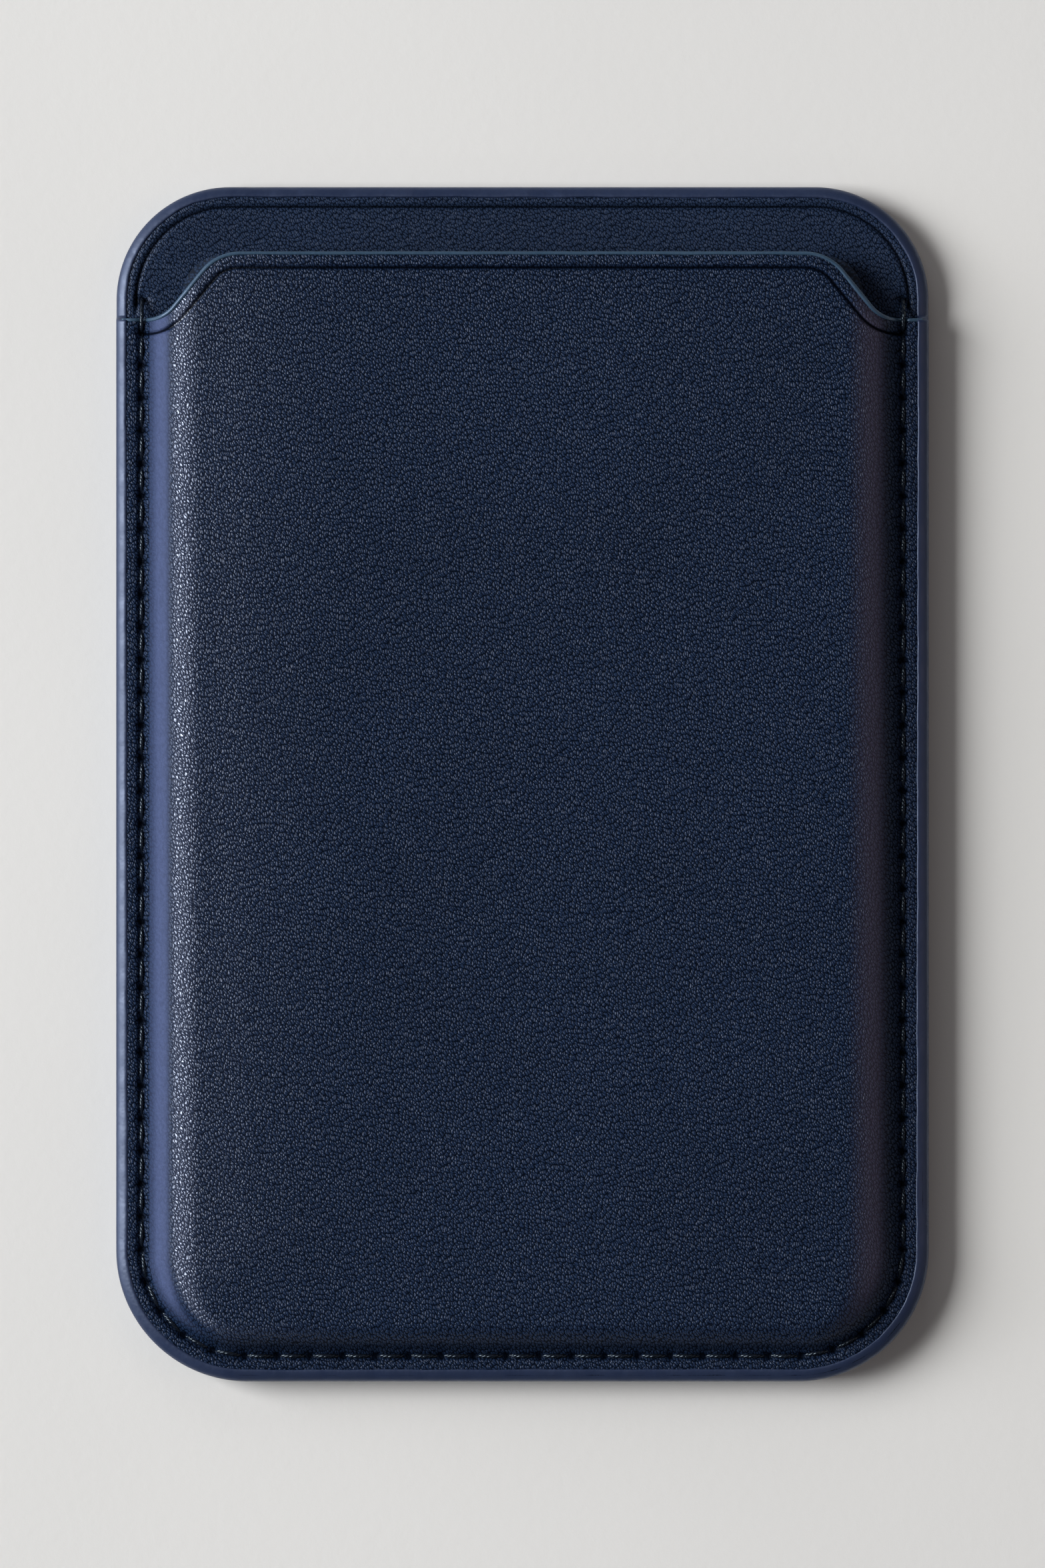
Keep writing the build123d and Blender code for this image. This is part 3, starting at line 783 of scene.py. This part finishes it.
def twisted_thread(path, radius, turns, phase):
    """Vertices and faces of twisted strands along a path."""
    along = np.gradient(path, axis=0)
    along /= np.linalg.norm(along, axis=1)[:, None]
    across = np.cross(along, (0.0, 0.0, 1.0) if abs(along[len(path) // 2][2]) < 0.9 else (1.0, 0.0, 0.0))
    across /= np.linalg.norm(across, axis=1)[:, None]
    up = np.cross(across, along)

    def around(i, angle):
        return math.cos(angle) * across[i] + math.sin(angle) * up[i]

    strand_radius = radius * STRAND_SHARE
    offset = radius - strand_radius
    vertices, faces = [], []
    count = len(path)
    for strand in range(STRANDS):
        start = len(vertices)
        for i in range(count):
            turn = phase + 2 * math.pi * (strand / STRANDS + turns * i / (count - 1))
            centre = path[i] + offset * around(i, turn)
            for k in range(STRAND_SIDES):
                vertices.append(centre + strand_radius * around(i, turn + 2 * math.pi * k / STRAND_SIDES))
        for i in range(count - 1):
            for k in range(STRAND_SIDES):
                m = (k + 1) % STRAND_SIDES
                a, b = start + i * STRAND_SIDES, start + (i + 1) * STRAND_SIDES
                faces.append((a + k, b + k, b + m, a + m))
        faces.append(tuple(range(start, start + STRAND_SIDES)))
        faces.append(tuple(range(start + (count - 1) * STRAND_SIDES, start + count * STRAND_SIDES))[::-1])
    return vertices, faces


def stitch_path(near, far, middle_z, end_z):
    """An arched stitch between two needle holes."""
    t = np.linspace(0, 1, STITCH_POINTS)
    flat = near + (far - near) * (0.02 + 0.96 * t)[:, None]
    arch = 1 - np.abs(2 * t - 1) ** 2
    return np.column_stack([flat, end_z + (middle_z - end_z) * arch])


def joined(name, runs):
    """One object from several runs of vertices and faces."""
    vertices, faces = [], []
    for run_vertices, run_faces in runs:
        shift = len(vertices)
        vertices += run_vertices
        faces += [tuple(shift + i for i in face) for face in run_faces]
    return make_object(name, vertices, faces)


def needle_stitches():
    """The seam's stitches on the front. Each end stitch climbs over the shoulder's edge."""
    runs = []
    for i in range(1, len(HOLES) - 2):
        lift = 0.02 * math.sin(2.3 * i)
        path = stitch_path(HOLES[i], HOLES[i + 1], FLANGE_Z - 0.1 + lift, FLANGE_Z - 0.75)
        runs.append(twisted_thread(path, NEEDLE_RADIUS, STITCH_TURNS, 1.3 * i))
    for side, hole, next_hole in ((-1, HOLES[0], HOLES[1]), (1, HOLES[-1], HOLES[-2])):
        x = hole[0]
        points = [
            (x, hole[1] + 0.02, FLOOR_Z - 0.6),
            (x, hole[1] - 0.05, FLOOR_Z + 0.05),
            (x, hole[1] - 0.55, FLOOR_Z + 0.45),
            (x, SHOULDER_Y + 0.2, FLANGE_Z + 0.02),
            (x, SHOULDER_Y - 0.35, FLANGE_Z + 0.02),
            (x, next_hole[1] + 0.35, FLANGE_Z - 0.15),
            (x, next_hole[1] + 0.05, FLANGE_Z - 0.75),
        ]
        runs.append(twisted_thread(smooth_line(points, 26), 0.85 * NEEDLE_RADIUS, 3.0, 0.7 * side))
    return joined("needle_stitches", runs)


def bobbin_stitches():
    """The seam's stitches on the rear, sunk below the face that lies on the phone."""
    runs = []
    for i in range(len(HOLES) - 1):
        path = stitch_path(HOLES[i], HOLES[i + 1], BOBBIN_Z, REAR_TOP_Z)
        runs.append(twisted_thread(path, BOBBIN_RADIUS, STITCH_TURNS, 1.9 * i))
    return joined("bobbin_stitches", runs)


# ---------------------------------------------------------------- material nodes


class Nodes:
    """A short way to build one material's node tree."""

    def __init__(self, name):
        self.material = bpy.data.materials.new(name)
        self.material.use_nodes = True
        self.tree = self.material.node_tree
        self.tree.nodes.clear()
        self.output = self.add("ShaderNodeOutputMaterial")
        self.shader = self.add("ShaderNodeBsdfPrincipled")
        self.link(self.shader.outputs[0], self.output.inputs["Surface"])
        place = self.add("ShaderNodeTexCoord").outputs["Object"]
        self.mm = self.add("ShaderNodeVectorMath", operation="SCALE")
        self.link(place, self.mm.inputs[0])
        self.mm.inputs["Scale"].default_value = 1 / MM
        self.place = self.mm.outputs[0]

    def add(self, kind, **settings):
        """A new node with its settings."""
        node = self.tree.nodes.new(kind)
        for key, value in settings.items():
            setattr(node, key, value)
        return node

    def link(self, source, target):
        """A link, or a plain value, into a socket."""
        if isinstance(source, bpy.types.NodeSocket):
            self.tree.links.new(source, target)
        else:
            target.default_value = source

    def noise(self, size, detail=2.0, roughness=0.5, place=None):
        """Noise with features of about a size in millimetres."""
        node = self.add("ShaderNodeTexNoise")
        self.link(place or self.place, node.inputs["Vector"])
        node.inputs["Scale"].default_value = 1 / size
        node.inputs["Detail"].default_value = detail
        node.inputs["Roughness"].default_value = roughness
        return node.outputs["Fac"]

    def cells(self, size, feature, place=None):
        """Voronoi cells of about a size in millimetres."""
        node = self.add("ShaderNodeTexVoronoi", feature=feature, voronoi_dimensions="2D")
        self.link(place or self.place, node.inputs["Vector"])
        node.inputs["Scale"].default_value = 1 / size
        return node.outputs["Distance"]

    def math(self, operation, a, b=0.0):
        """One sum."""
        node = self.add("ShaderNodeMath", operation=operation)
        self.link(a, node.inputs[0])
        self.link(b, node.inputs[1])
        return node.outputs[0]

    def remap(self, value, low, high, new_low=0.0, new_high=1.0):
        """A value moved smoothly from one range to another."""
        node = self.add("ShaderNodeMapRange", interpolation_type="SMOOTHSTEP")
        self.link(value, node.inputs["Value"])
        for key, number in zip(("From Min", "From Max", "To Min", "To Max"), (low, high, new_low, new_high)):
            node.inputs[key].default_value = number
        return node.outputs["Result"]

    def paint(self, colour, target):
        """A colour socket, or a plain colour, into a socket."""
        self.link(colour if isinstance(colour, bpy.types.NodeSocket) else (*colour, 1.0), target)

    def mix(self, factor, a, b):
        """A mix of two colours."""
        node = self.add("ShaderNodeMix", data_type="RGBA")
        self.link(factor, node.inputs["Factor"])
        self.paint(a, node.inputs["A"])
        self.paint(b, node.inputs["B"])
        return node.outputs["Result"]

    def attribute(self, name):
        """A value stored on the mesh."""
        return self.add("ShaderNodeAttribute", attribute_name=name).outputs["Fac"]

    def upward(self):
        """How far a surface faces along +Z or -Z: 1 when flat, 0 on a wall."""
        normal = self.add("ShaderNodeNewGeometry").outputs["Normal"]
        split = self.add("ShaderNodeSeparateXYZ")
        self.link(normal, split.inputs[0])
        return self.math("ABSOLUTE", split.outputs["Z"])

    def warped(self, size, amount):
        """The place, pushed about by noise of a size, by an amount in millimetres."""
        node = self.add("ShaderNodeTexNoise")
        self.link(self.place, node.inputs["Vector"])
        node.inputs["Scale"].default_value = 1 / size
        centred = self.add("ShaderNodeVectorMath", operation="SUBTRACT")
        self.link(node.outputs["Color"], centred.inputs[0])
        centred.inputs[1].default_value = (0.5, 0.5, 0.5)
        scaled = self.add("ShaderNodeVectorMath", operation="SCALE")
        self.link(centred.outputs[0], scaled.inputs[0])
        scaled.inputs["Scale"].default_value = 2 * amount
        moved = self.add("ShaderNodeVectorMath", operation="ADD")
        self.link(self.place, moved.inputs[0])
        self.link(scaled.outputs[0], moved.inputs[1])
        return moved.outputs[0]

    def stretched(self, place, angle, factor):
        """The place with texture features stretched by a factor along an angle in degrees."""
        node = self.add("ShaderNodeMapping", vector_type="TEXTURE")
        self.link(place, node.inputs["Vector"])
        node.inputs["Rotation"].default_value = (0.0, 0.0, math.radians(angle))
        node.inputs["Scale"].default_value = (factor, 1.0, 1.0)
        return node.outputs["Vector"]

    def bump(self, height, depth, strength=1.0):
        """A bump of a depth in millimetres."""
        node = self.add("ShaderNodeBump")
        self.link(height, node.inputs["Height"])
        node.inputs["Distance"].default_value = depth * MM
        self.link(strength, node.inputs["Strength"])
        return node.outputs["Normal"]

    def finish(self, colour, roughness, normal, **others):
        """Sets the shader's inputs and gives the finished material."""
        self.paint(colour, self.shader.inputs["Base Color"])
        self.link(roughness, self.shader.inputs["Roughness"])
        self.link(normal, self.shader.inputs["Normal"])
        for key, value in others.items():
            self.link(value, self.shader.inputs[key.replace("_", " ")])
        return self.material


def shade(colour, factor):
    """A colour made darker or lighter."""
    return tuple(min(1.0, c * factor) for c in colour)


# Leather: the lean of its pebbles in degrees, their length over their width, the size of its cloudy
# patches in millimetres, and how the marks change its colour, with painted shade, sheen, highlight and
# reflection, and its gloss
GRAIN_LEAN = 118.0
GRAIN_STRETCH = 1.9
PATCH_SIZE = 14.0
VALLEY_SHADE = 0.18
GROOVE_SHADE = 0.06
PLAIN_GLOSS = 0.34
GROOVE_GLOSS = 0.03
ROLLED_GLOSS = 2.7
PRESSED_GLOSS = 0.25
VALLEY_GLOSS = 0.12
WARM_REFLECTION_SHARE = 0.7
ROLLED_HIGHLIGHT_SHARE = 0.3

# Tints of the highlights
LEATHER_GLINT = (0.75, 0.83, 1.0, 1.0)
PAINT_GLINT = (0.64, 0.75, 1.0, 1.0)
THREAD_GLINT = (0.72, 0.88, 1.0, 1.0)


def leather_material(name, colour, pressed_sheen_colour, pebble, depth):
    """Leather with small leaning pebbles that glint over valleys with painted shade, smoother where pressed
    and paler there as a painted sheen.
    """
    n = Nodes(name)
    groove = n.attribute("groove")
    pressed_sheen = n.attribute("pressed_sheen")
    rolled = n.attribute("rolled")
    place = n.stretched(n.warped(pebble * 3, pebble * 0.8), GRAIN_LEAN, GRAIN_STRETCH)

    # Height of the grain
    peak = n.remap(n.cells(pebble, "F1", place), 0.64, 0.0)
    rounded = n.remap(n.cells(pebble, "DISTANCE_TO_EDGE", place), 0.0, 0.3)
    dome = n.math("ADD", peak, rounded)
    fine = n.noise(pebble * 0.3, 3.0, 0.6)
    tilt = n.noise(pebble * 1.3, 2.0, 0.6, place)
    height = n.math("ADD", n.math("MULTIPLY", dome, 0.38), n.math("MULTIPLY", fine, 0.12))
    height = n.math("ADD", height, n.math("MULTIPLY", tilt, 0.75))
    strength = n.math("MULTIPLY", n.remap(pressed_sheen, 0.0, 0.4, 0.75, 0.2), n.remap(groove, 0.2, 0.8, 1.0, 0.35))
    strength = n.math("MULTIPLY", strength, n.remap(rolled, 0.0, 1.0, 1.0, 1.33))
    normal = n.bump(height, depth, strength)

    # Colour
    patch = n.remap(n.noise(PATCH_SIZE, 3.0), 0.3, 0.7, 0.0, 0.4)
    valley = n.remap(n.math("ADD", dome, tilt), 0.55, 1.75, 1.0, 0.0)
    mottle = n.remap(n.noise(0.22, 4.0, 0.7, place), 0.35, 0.65)
    smooth_sheen_tint = n.mix(mottle, shade(pressed_sheen_colour, 0.87), shade(pressed_sheen_colour, 1.1))
    tint = n.mix(patch, colour, shade(colour, 1.4))
    # Painted shade: the grain's valleys are darkened.
    tint = n.mix(valley, tint, shade(colour, VALLEY_SHADE))
    # Painted reflection: a warm tint on the right slope.
    tint = n.mix(n.math("MULTIPLY", n.attribute("warm_reflection"), WARM_REFLECTION_SHARE), tint, WARM_REFLECTION_TONE)
    # Painted highlight: the rolled band on the left slope is tinted paler.
    tint = n.mix(n.math("MULTIPLY", rolled, ROLLED_HIGHLIGHT_SHARE), tint, pressed_sheen_colour)
    # Painted sheen: the pressed band low on the slopes is tinted paler and bluer.
    tint = n.mix(n.remap(pressed_sheen, 0.2, 0.9), tint, smooth_sheen_tint)
    # Painted shade: the seam groove, needle holes and creases are darkened.
    tint = n.mix(n.remap(groove, 0.4, 1.0, 0.0, 0.95), tint, shade(colour, GROOVE_SHADE))

    # Roughness and gloss
    worked = n.math("MULTIPLY", n.math("MAXIMUM", groove, pressed_sheen), 0.16)
    rough = n.math("ADD", n.remap(fine, 0.2, 0.8, 0.3, 0.42), worked)
    plain = n.remap(groove, 0.4, 1.0, PLAIN_GLOSS, GROOVE_GLOSS)
    gloss = n.math("ADD", plain, n.math("MULTIPLY", rolled, ROLLED_GLOSS))
    gloss = n.math("MULTIPLY", gloss, n.remap(pressed_sheen, 0.0, 0.25, 1.0, PRESSED_GLOSS))
    open_valley = n.math("MULTIPLY", valley, n.math("SUBTRACT", 1.0, pressed_sheen))
    gloss = n.math("MULTIPLY", gloss, n.remap(open_valley, 0.0, 1.0, 1.0, VALLEY_GLOSS))
    return n.finish(tint, rough, normal, Specular_IOR_Level=gloss, Specular_Tint=LEATHER_GLINT)


def paint_material(name, colour, roughness):
    """Edge paint: smooth, slightly uneven, with specks and worn lighter patches."""
    n = Nodes(name)
    wave = n.noise(1.6, 3.0)
    speck = n.cells(0.35, "F1")
    normal = n.bump(n.math("ADD", wave, n.math("MULTIPLY", speck, 0.15)), 0.05)
    worn = n.mix(n.remap(n.noise(0.9, 4.0, 0.65), 0.45, 0.75, 0.0, 0.4), colour, shade(colour, 1.4))
    rough = n.remap(wave, 0.2, 0.8, roughness - 0.06, roughness + 0.1)
    return n.finish(worn, rough, normal, Specular_IOR_Level=0.9, Specular_Tint=PAINT_GLINT)


def thread_material(name, colour):
    """Waxed polyester thread with fine filaments."""
    n = Nodes(name)
    fibre = n.noise(0.05, 3.0, 0.7)
    normal = n.bump(fibre, 0.0008)
    tint = n.mix(n.remap(n.noise(0.4), 0.35, 0.7), colour, shade(colour, 1.4))
    rough = n.remap(fibre, 0.3, 0.7, 0.12, 0.2)
    return n.finish(tint, rough, normal, Specular_IOR_Level=0.6, Specular_Tint=THREAD_GLINT)


def nap_material(name, colour):
    """Short suede-like nap of the lining."""
    n = Nodes(name)
    nap = n.noise(0.12, 4.0, 0.7)
    streak = n.noise(2.5, 3.0)
    tint = n.mix(n.remap(nap, 0.3, 0.7), shade(colour, 0.6), shade(colour, 1.5))
    tint = n.mix(n.remap(streak, 0.4, 0.7, 0.0, 0.3), tint, shade(colour, 2))
    return n.finish(tint, 0.95, n.bump(nap, 0.06), Sheen_Weight=0.5, Sheen_Roughness=0.4)


def board_material(name, colour):
    """Bonded leather fibre."""
    n = Nodes(name)
    fibre = n.noise(0.3, 5.0, 0.75, n.warped(1.5, 0.6))
    tint = n.mix(n.remap(fibre, 0.35, 0.65), shade(colour, 0.6), shade(colour, 1.6))
    return n.finish(tint, n.remap(fibre, 0.3, 0.7, 0.75, 0.95), n.bump(fibre, 0.05))


def plastic_material(name, colour, roughness, grain):
    """Moulded or laminated plastic with a faint texture."""
    n = Nodes(name)
    texture = n.noise(grain, 3.0, 0.6)
    haze = n.noise(9.0, 2.0)
    tint = n.mix(n.remap(haze, 0.35, 0.7, 0.0, 0.4), colour, shade(colour, 1.25))
    rough = n.remap(texture, 0.3, 0.7, roughness - 0.06, roughness + 0.08)
    return n.finish(tint, rough, n.bump(texture, 0.012))


def card_material(name, colour):
    """A laminated card: a fine fleck printed under a satin film, with plain dark cut edges."""
    n = Nodes(name)
    print_dots = n.remap(n.math("ADD", n.cells(0.24, "F1"), n.noise(0.3)), 1.1, 0.5)
    fleck = n.math("MULTIPLY", print_dots, n.upward())
    film = n.noise(1.8, 3.0)
    tint = n.mix(fleck, shade(colour, 0.4), shade(colour, 1.9))
    tint = n.mix(n.remap(n.noise(12.0), 0.35, 0.7, 0.0, 0.3), tint, colour)
    rough = n.remap(film, 0.3, 0.7, 0.38, 0.5)
    return n.finish(tint, rough, n.bump(film, 0.01), Specular_IOR_Level=0.4)


def metal_material(name, colour, roughness, stretch):
    """Plated or rolled metal with fine lines along X."""
    n = Nodes(name)
    scale = n.add("ShaderNodeVectorMath", operation="MULTIPLY")
    n.link(n.place, scale.inputs[0])
    scale.inputs[1].default_value = (1.0 / stretch, 1.0, 1.0)
    lines = n.noise(0.15, 3.0, 0.7, scale.outputs[0])
    stain = n.noise(6.0, 3.0)
    tint = n.mix(n.remap(stain, 0.4, 0.7, 0.0, 0.35), colour, shade(colour, 0.7))
    rough = n.remap(lines, 0.3, 0.7, roughness - 0.07, roughness + 0.12)
    return n.finish(tint, rough, n.bump(lines, 0.01), Metallic=1.0)


def floor_material():
    """Pale paper."""
    n = Nodes("floor_paper")
    fibre = n.noise(1.2, 5.0, 0.7)
    cloud = n.noise(60.0, 2.0)
    tint = n.mix(n.remap(cloud, 0.3, 0.7), FLOOR_COLOUR, shade(FLOOR_COLOUR, 0.97))
    return n.finish(tint, 0.9, n.bump(fibre, 0.05, 0.4), Specular_IOR_Level=0.2)


NAVY = (0.0105, 0.023, 0.058)
INNER_NAVY = (0.0145, 0.028, 0.064)
PRESSED_SHEEN_BLUE = (0.059, 0.08, 0.168)
WARM_REFLECTION_TONE = (0.058, 0.05, 0.078)
REAR_NAVY = (0.006, 0.011, 0.028)
PAINT_BLUE = (0.014, 0.024, 0.062)
MOUTH_BLUE = (0.03, 0.065, 0.11)
THREAD_NAVY = (0.006, 0.009, 0.016)
FLOOR_COLOUR = (0.83, 0.825, 0.805)

SLOT_MATERIALS = {
    "navy_leather": leather_material("navy_leather_grain", NAVY, PRESSED_SHEEN_BLUE, 0.19, 0.088),
    "rear_leather": leather_material("rear_leather_grain", REAR_NAVY, PRESSED_SHEEN_BLUE, 0.19, 0.035),
    "edge_paint": paint_material("edge_paint_satin", PAINT_BLUE, 0.42),
    "thread": thread_material("waxed_thread", THREAD_NAVY),
    "microfibre": nap_material("lining_nap", (0.016, 0.022, 0.038)),
    "fibre_board": board_material("bonded_fibre", (0.05, 0.045, 0.04)),
    "carrier_plastic": plastic_material("carrier_moulded", (0.03, 0.03, 0.032), 0.55, 0.2),
    "cover_film": plastic_material("cover_film_satin", (0.04, 0.04, 0.042), 0.4, 0.5),
    "adhesive_film": plastic_material("adhesive_acrylic", (0.45, 0.44, 0.4), 0.35, 0.8),
    "plated_magnet": metal_material("nickel_plate", (0.62, 0.61, 0.58), 0.28, 1.0),
    "sheet_steel": metal_material("rolled_steel", (0.5, 0.5, 0.51), 0.33, 12.0),
    "rear_card_plastic": card_material("rear_card_laminate", (0.016, 0.02, 0.03)),
    "front_card_plastic": card_material("front_card_laminate", (0.015, 0.03, 0.066)),
    "chip_contact": metal_material("gold_contact", (0.83, 0.66, 0.36), 0.42, 1.0),
}
INNER_LEATHER_MATERIAL = leather_material("inner_leather_grain", INNER_NAVY, PRESSED_SHEEN_BLUE, 0.175, 0.033)
MOUTH_PAINT_MATERIAL = paint_material("mouth_paint_satin", MOUTH_BLUE, 0.38)

node_slots = {row["node"]: row["material_slot"] for row in frame["record"]["subparts"]}
for node, piece in frame["nodes"].items():
    for place in piece.material_slots:
        place.material = SLOT_MATERIALS[node_slots[node]]


# ---------------------------------------------------------------- assembly of the looks


def place_piece(piece, slot, node, material=None):
    """Ties a piece to the wallet in place of the CAD node it stands for, which it hides, with its slot's
    finish or its own.
    """
    piece.data.materials.append(material or SLOT_MATERIALS[slot])
    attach(piece, "wallet")
    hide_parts(node)


place_piece(front_leather(), "navy_leather", "front_skin")
stiffener = front_layer("swell_stiffener", FRONT_LEATHER, STIFFENER_BOTTOM)
place_piece(stiffener, "carrier_plastic", "front_stiffener")
lining = front_layer("pocket_lining", STIFFENER_BOTTOM, LINING_BOTTOM)
place_piece(lining, "microfibre", "front_lining")
place_piece(inner_leather(), "navy_leather", "inner_panel", INNER_LEATHER_MATERIAL)
place_piece(rear_leather(), "rear_leather", "rear_skin")
place_piece(edge_bead(), "edge_paint", "outer_edge_paint")
place_piece(mouth_bead(), "edge_paint", "mouth_edge_paint", MOUTH_PAINT_MATERIAL)
place_piece(slot_bead(), "edge_paint", "slot_edge_paint")
place_piece(needle_stitches(), "thread", "needle_thread")
place_piece(bobbin_stitches(), "thread", "bobbin_thread")


# ---------------------------------------------------------------- floor, light and camera

# Metres, watts and, for the lens, millimetres
FLOOR_HALF_SIZE = 2.0
FLOOR_LEVEL = -0.00005
WORLD_COLOUR = (0.94, 0.96, 1.0, 1.0)
WORLD_STRENGTH = 0.07
LENS = 290.0
SENSOR_HEIGHT = 36.0
NEAREST_SEEN = 0.05
WALLET_SHARE_OF_VIEW = 0.76
COOL_LIGHT = (0.82, 0.88, 1.0)
WARM_LIGHT = (1.0, 0.76, 0.68)


def floor():
    """A wide pale floor just under the wallet."""
    mesh = bpy.data.meshes.new("floor")
    half, z = FLOOR_HALF_SIZE, FLOOR_LEVEL
    corners = [(-half, -half, z), (half, -half, z), (half, half, z), (-half, half, z)]
    mesh.from_pydata(corners, [], [(0, 1, 2, 3)])
    plane = bpy.data.objects.new("floor", mesh)
    plane.data.materials.append(floor_material())
    bpy.context.scene.collection.objects.link(plane)


def softbox(name, place, size, watts, colour=(1.0, 1.0, 1.0), highlights=True):
    """A rectangular soft light that faces the wallet, with or without its own highlights."""
    light = bpy.data.lights.new(name, "AREA")
    light.shape = "RECTANGLE"
    light.size, light.size_y = size
    light.energy = watts
    light.color = colour
    lamp = bpy.data.objects.new(name, light)
    lamp.location = place
    lamp.rotation_euler = (-Vector(place)).to_track_quat("-Z", "Y").to_euler()
    lamp.visible_glossy = highlights
    bpy.context.scene.collection.objects.link(lamp)


def world():
    """An even pale surround."""
    surround = bpy.data.worlds.new("surround")
    surround.use_nodes = True
    background = surround.node_tree.nodes["Background"]
    background.inputs["Color"].default_value = WORLD_COLOUR
    background.inputs["Strength"].default_value = WORLD_STRENGTH
    bpy.context.scene.world = surround


def camera():
    """A long lens straight above the wallet."""
    lens = bpy.data.cameras.new("camera")
    lens.lens = LENS
    lens.sensor_fit = "VERTICAL"
    lens.sensor_height = SENSOR_HEIGHT
    lens.clip_start = NEAREST_SEEN
    viewer = bpy.data.objects.new("camera", lens)
    view_height = (TOP - BOTTOM) * MM / WALLET_SHARE_OF_VIEW
    distance = view_height * LENS / SENSOR_HEIGHT
    viewer.location = (0.0, (TOP + BOTTOM) / 2 * MM, distance)
    bpy.context.scene.collection.objects.link(viewer)
    bpy.context.scene.camera = viewer


floor()
world()
softbox("key", (-1.2, 0.2, 0.92), (0.8, 1.0), 29.0)
softbox("low_strip", (-1.4, 0.1, 0.32), (1.4, 0.4), 5.6, colour=COOL_LIGHT)
softbox("upper_fill", (-0.2, 0.75, 0.5), (0.6, 0.4), 0.7, highlights=False)
softbox("lower_fill", (-0.1, -0.8, 0.5), (0.6, 0.4), 0.15, highlights=False)
softbox("warm_return", (0.45, 0.0, 0.45), (0.2, 0.5), 0.2, colour=WARM_LIGHT)
camera()
bpy.context.scene.view_settings.view_transform = "Standard"
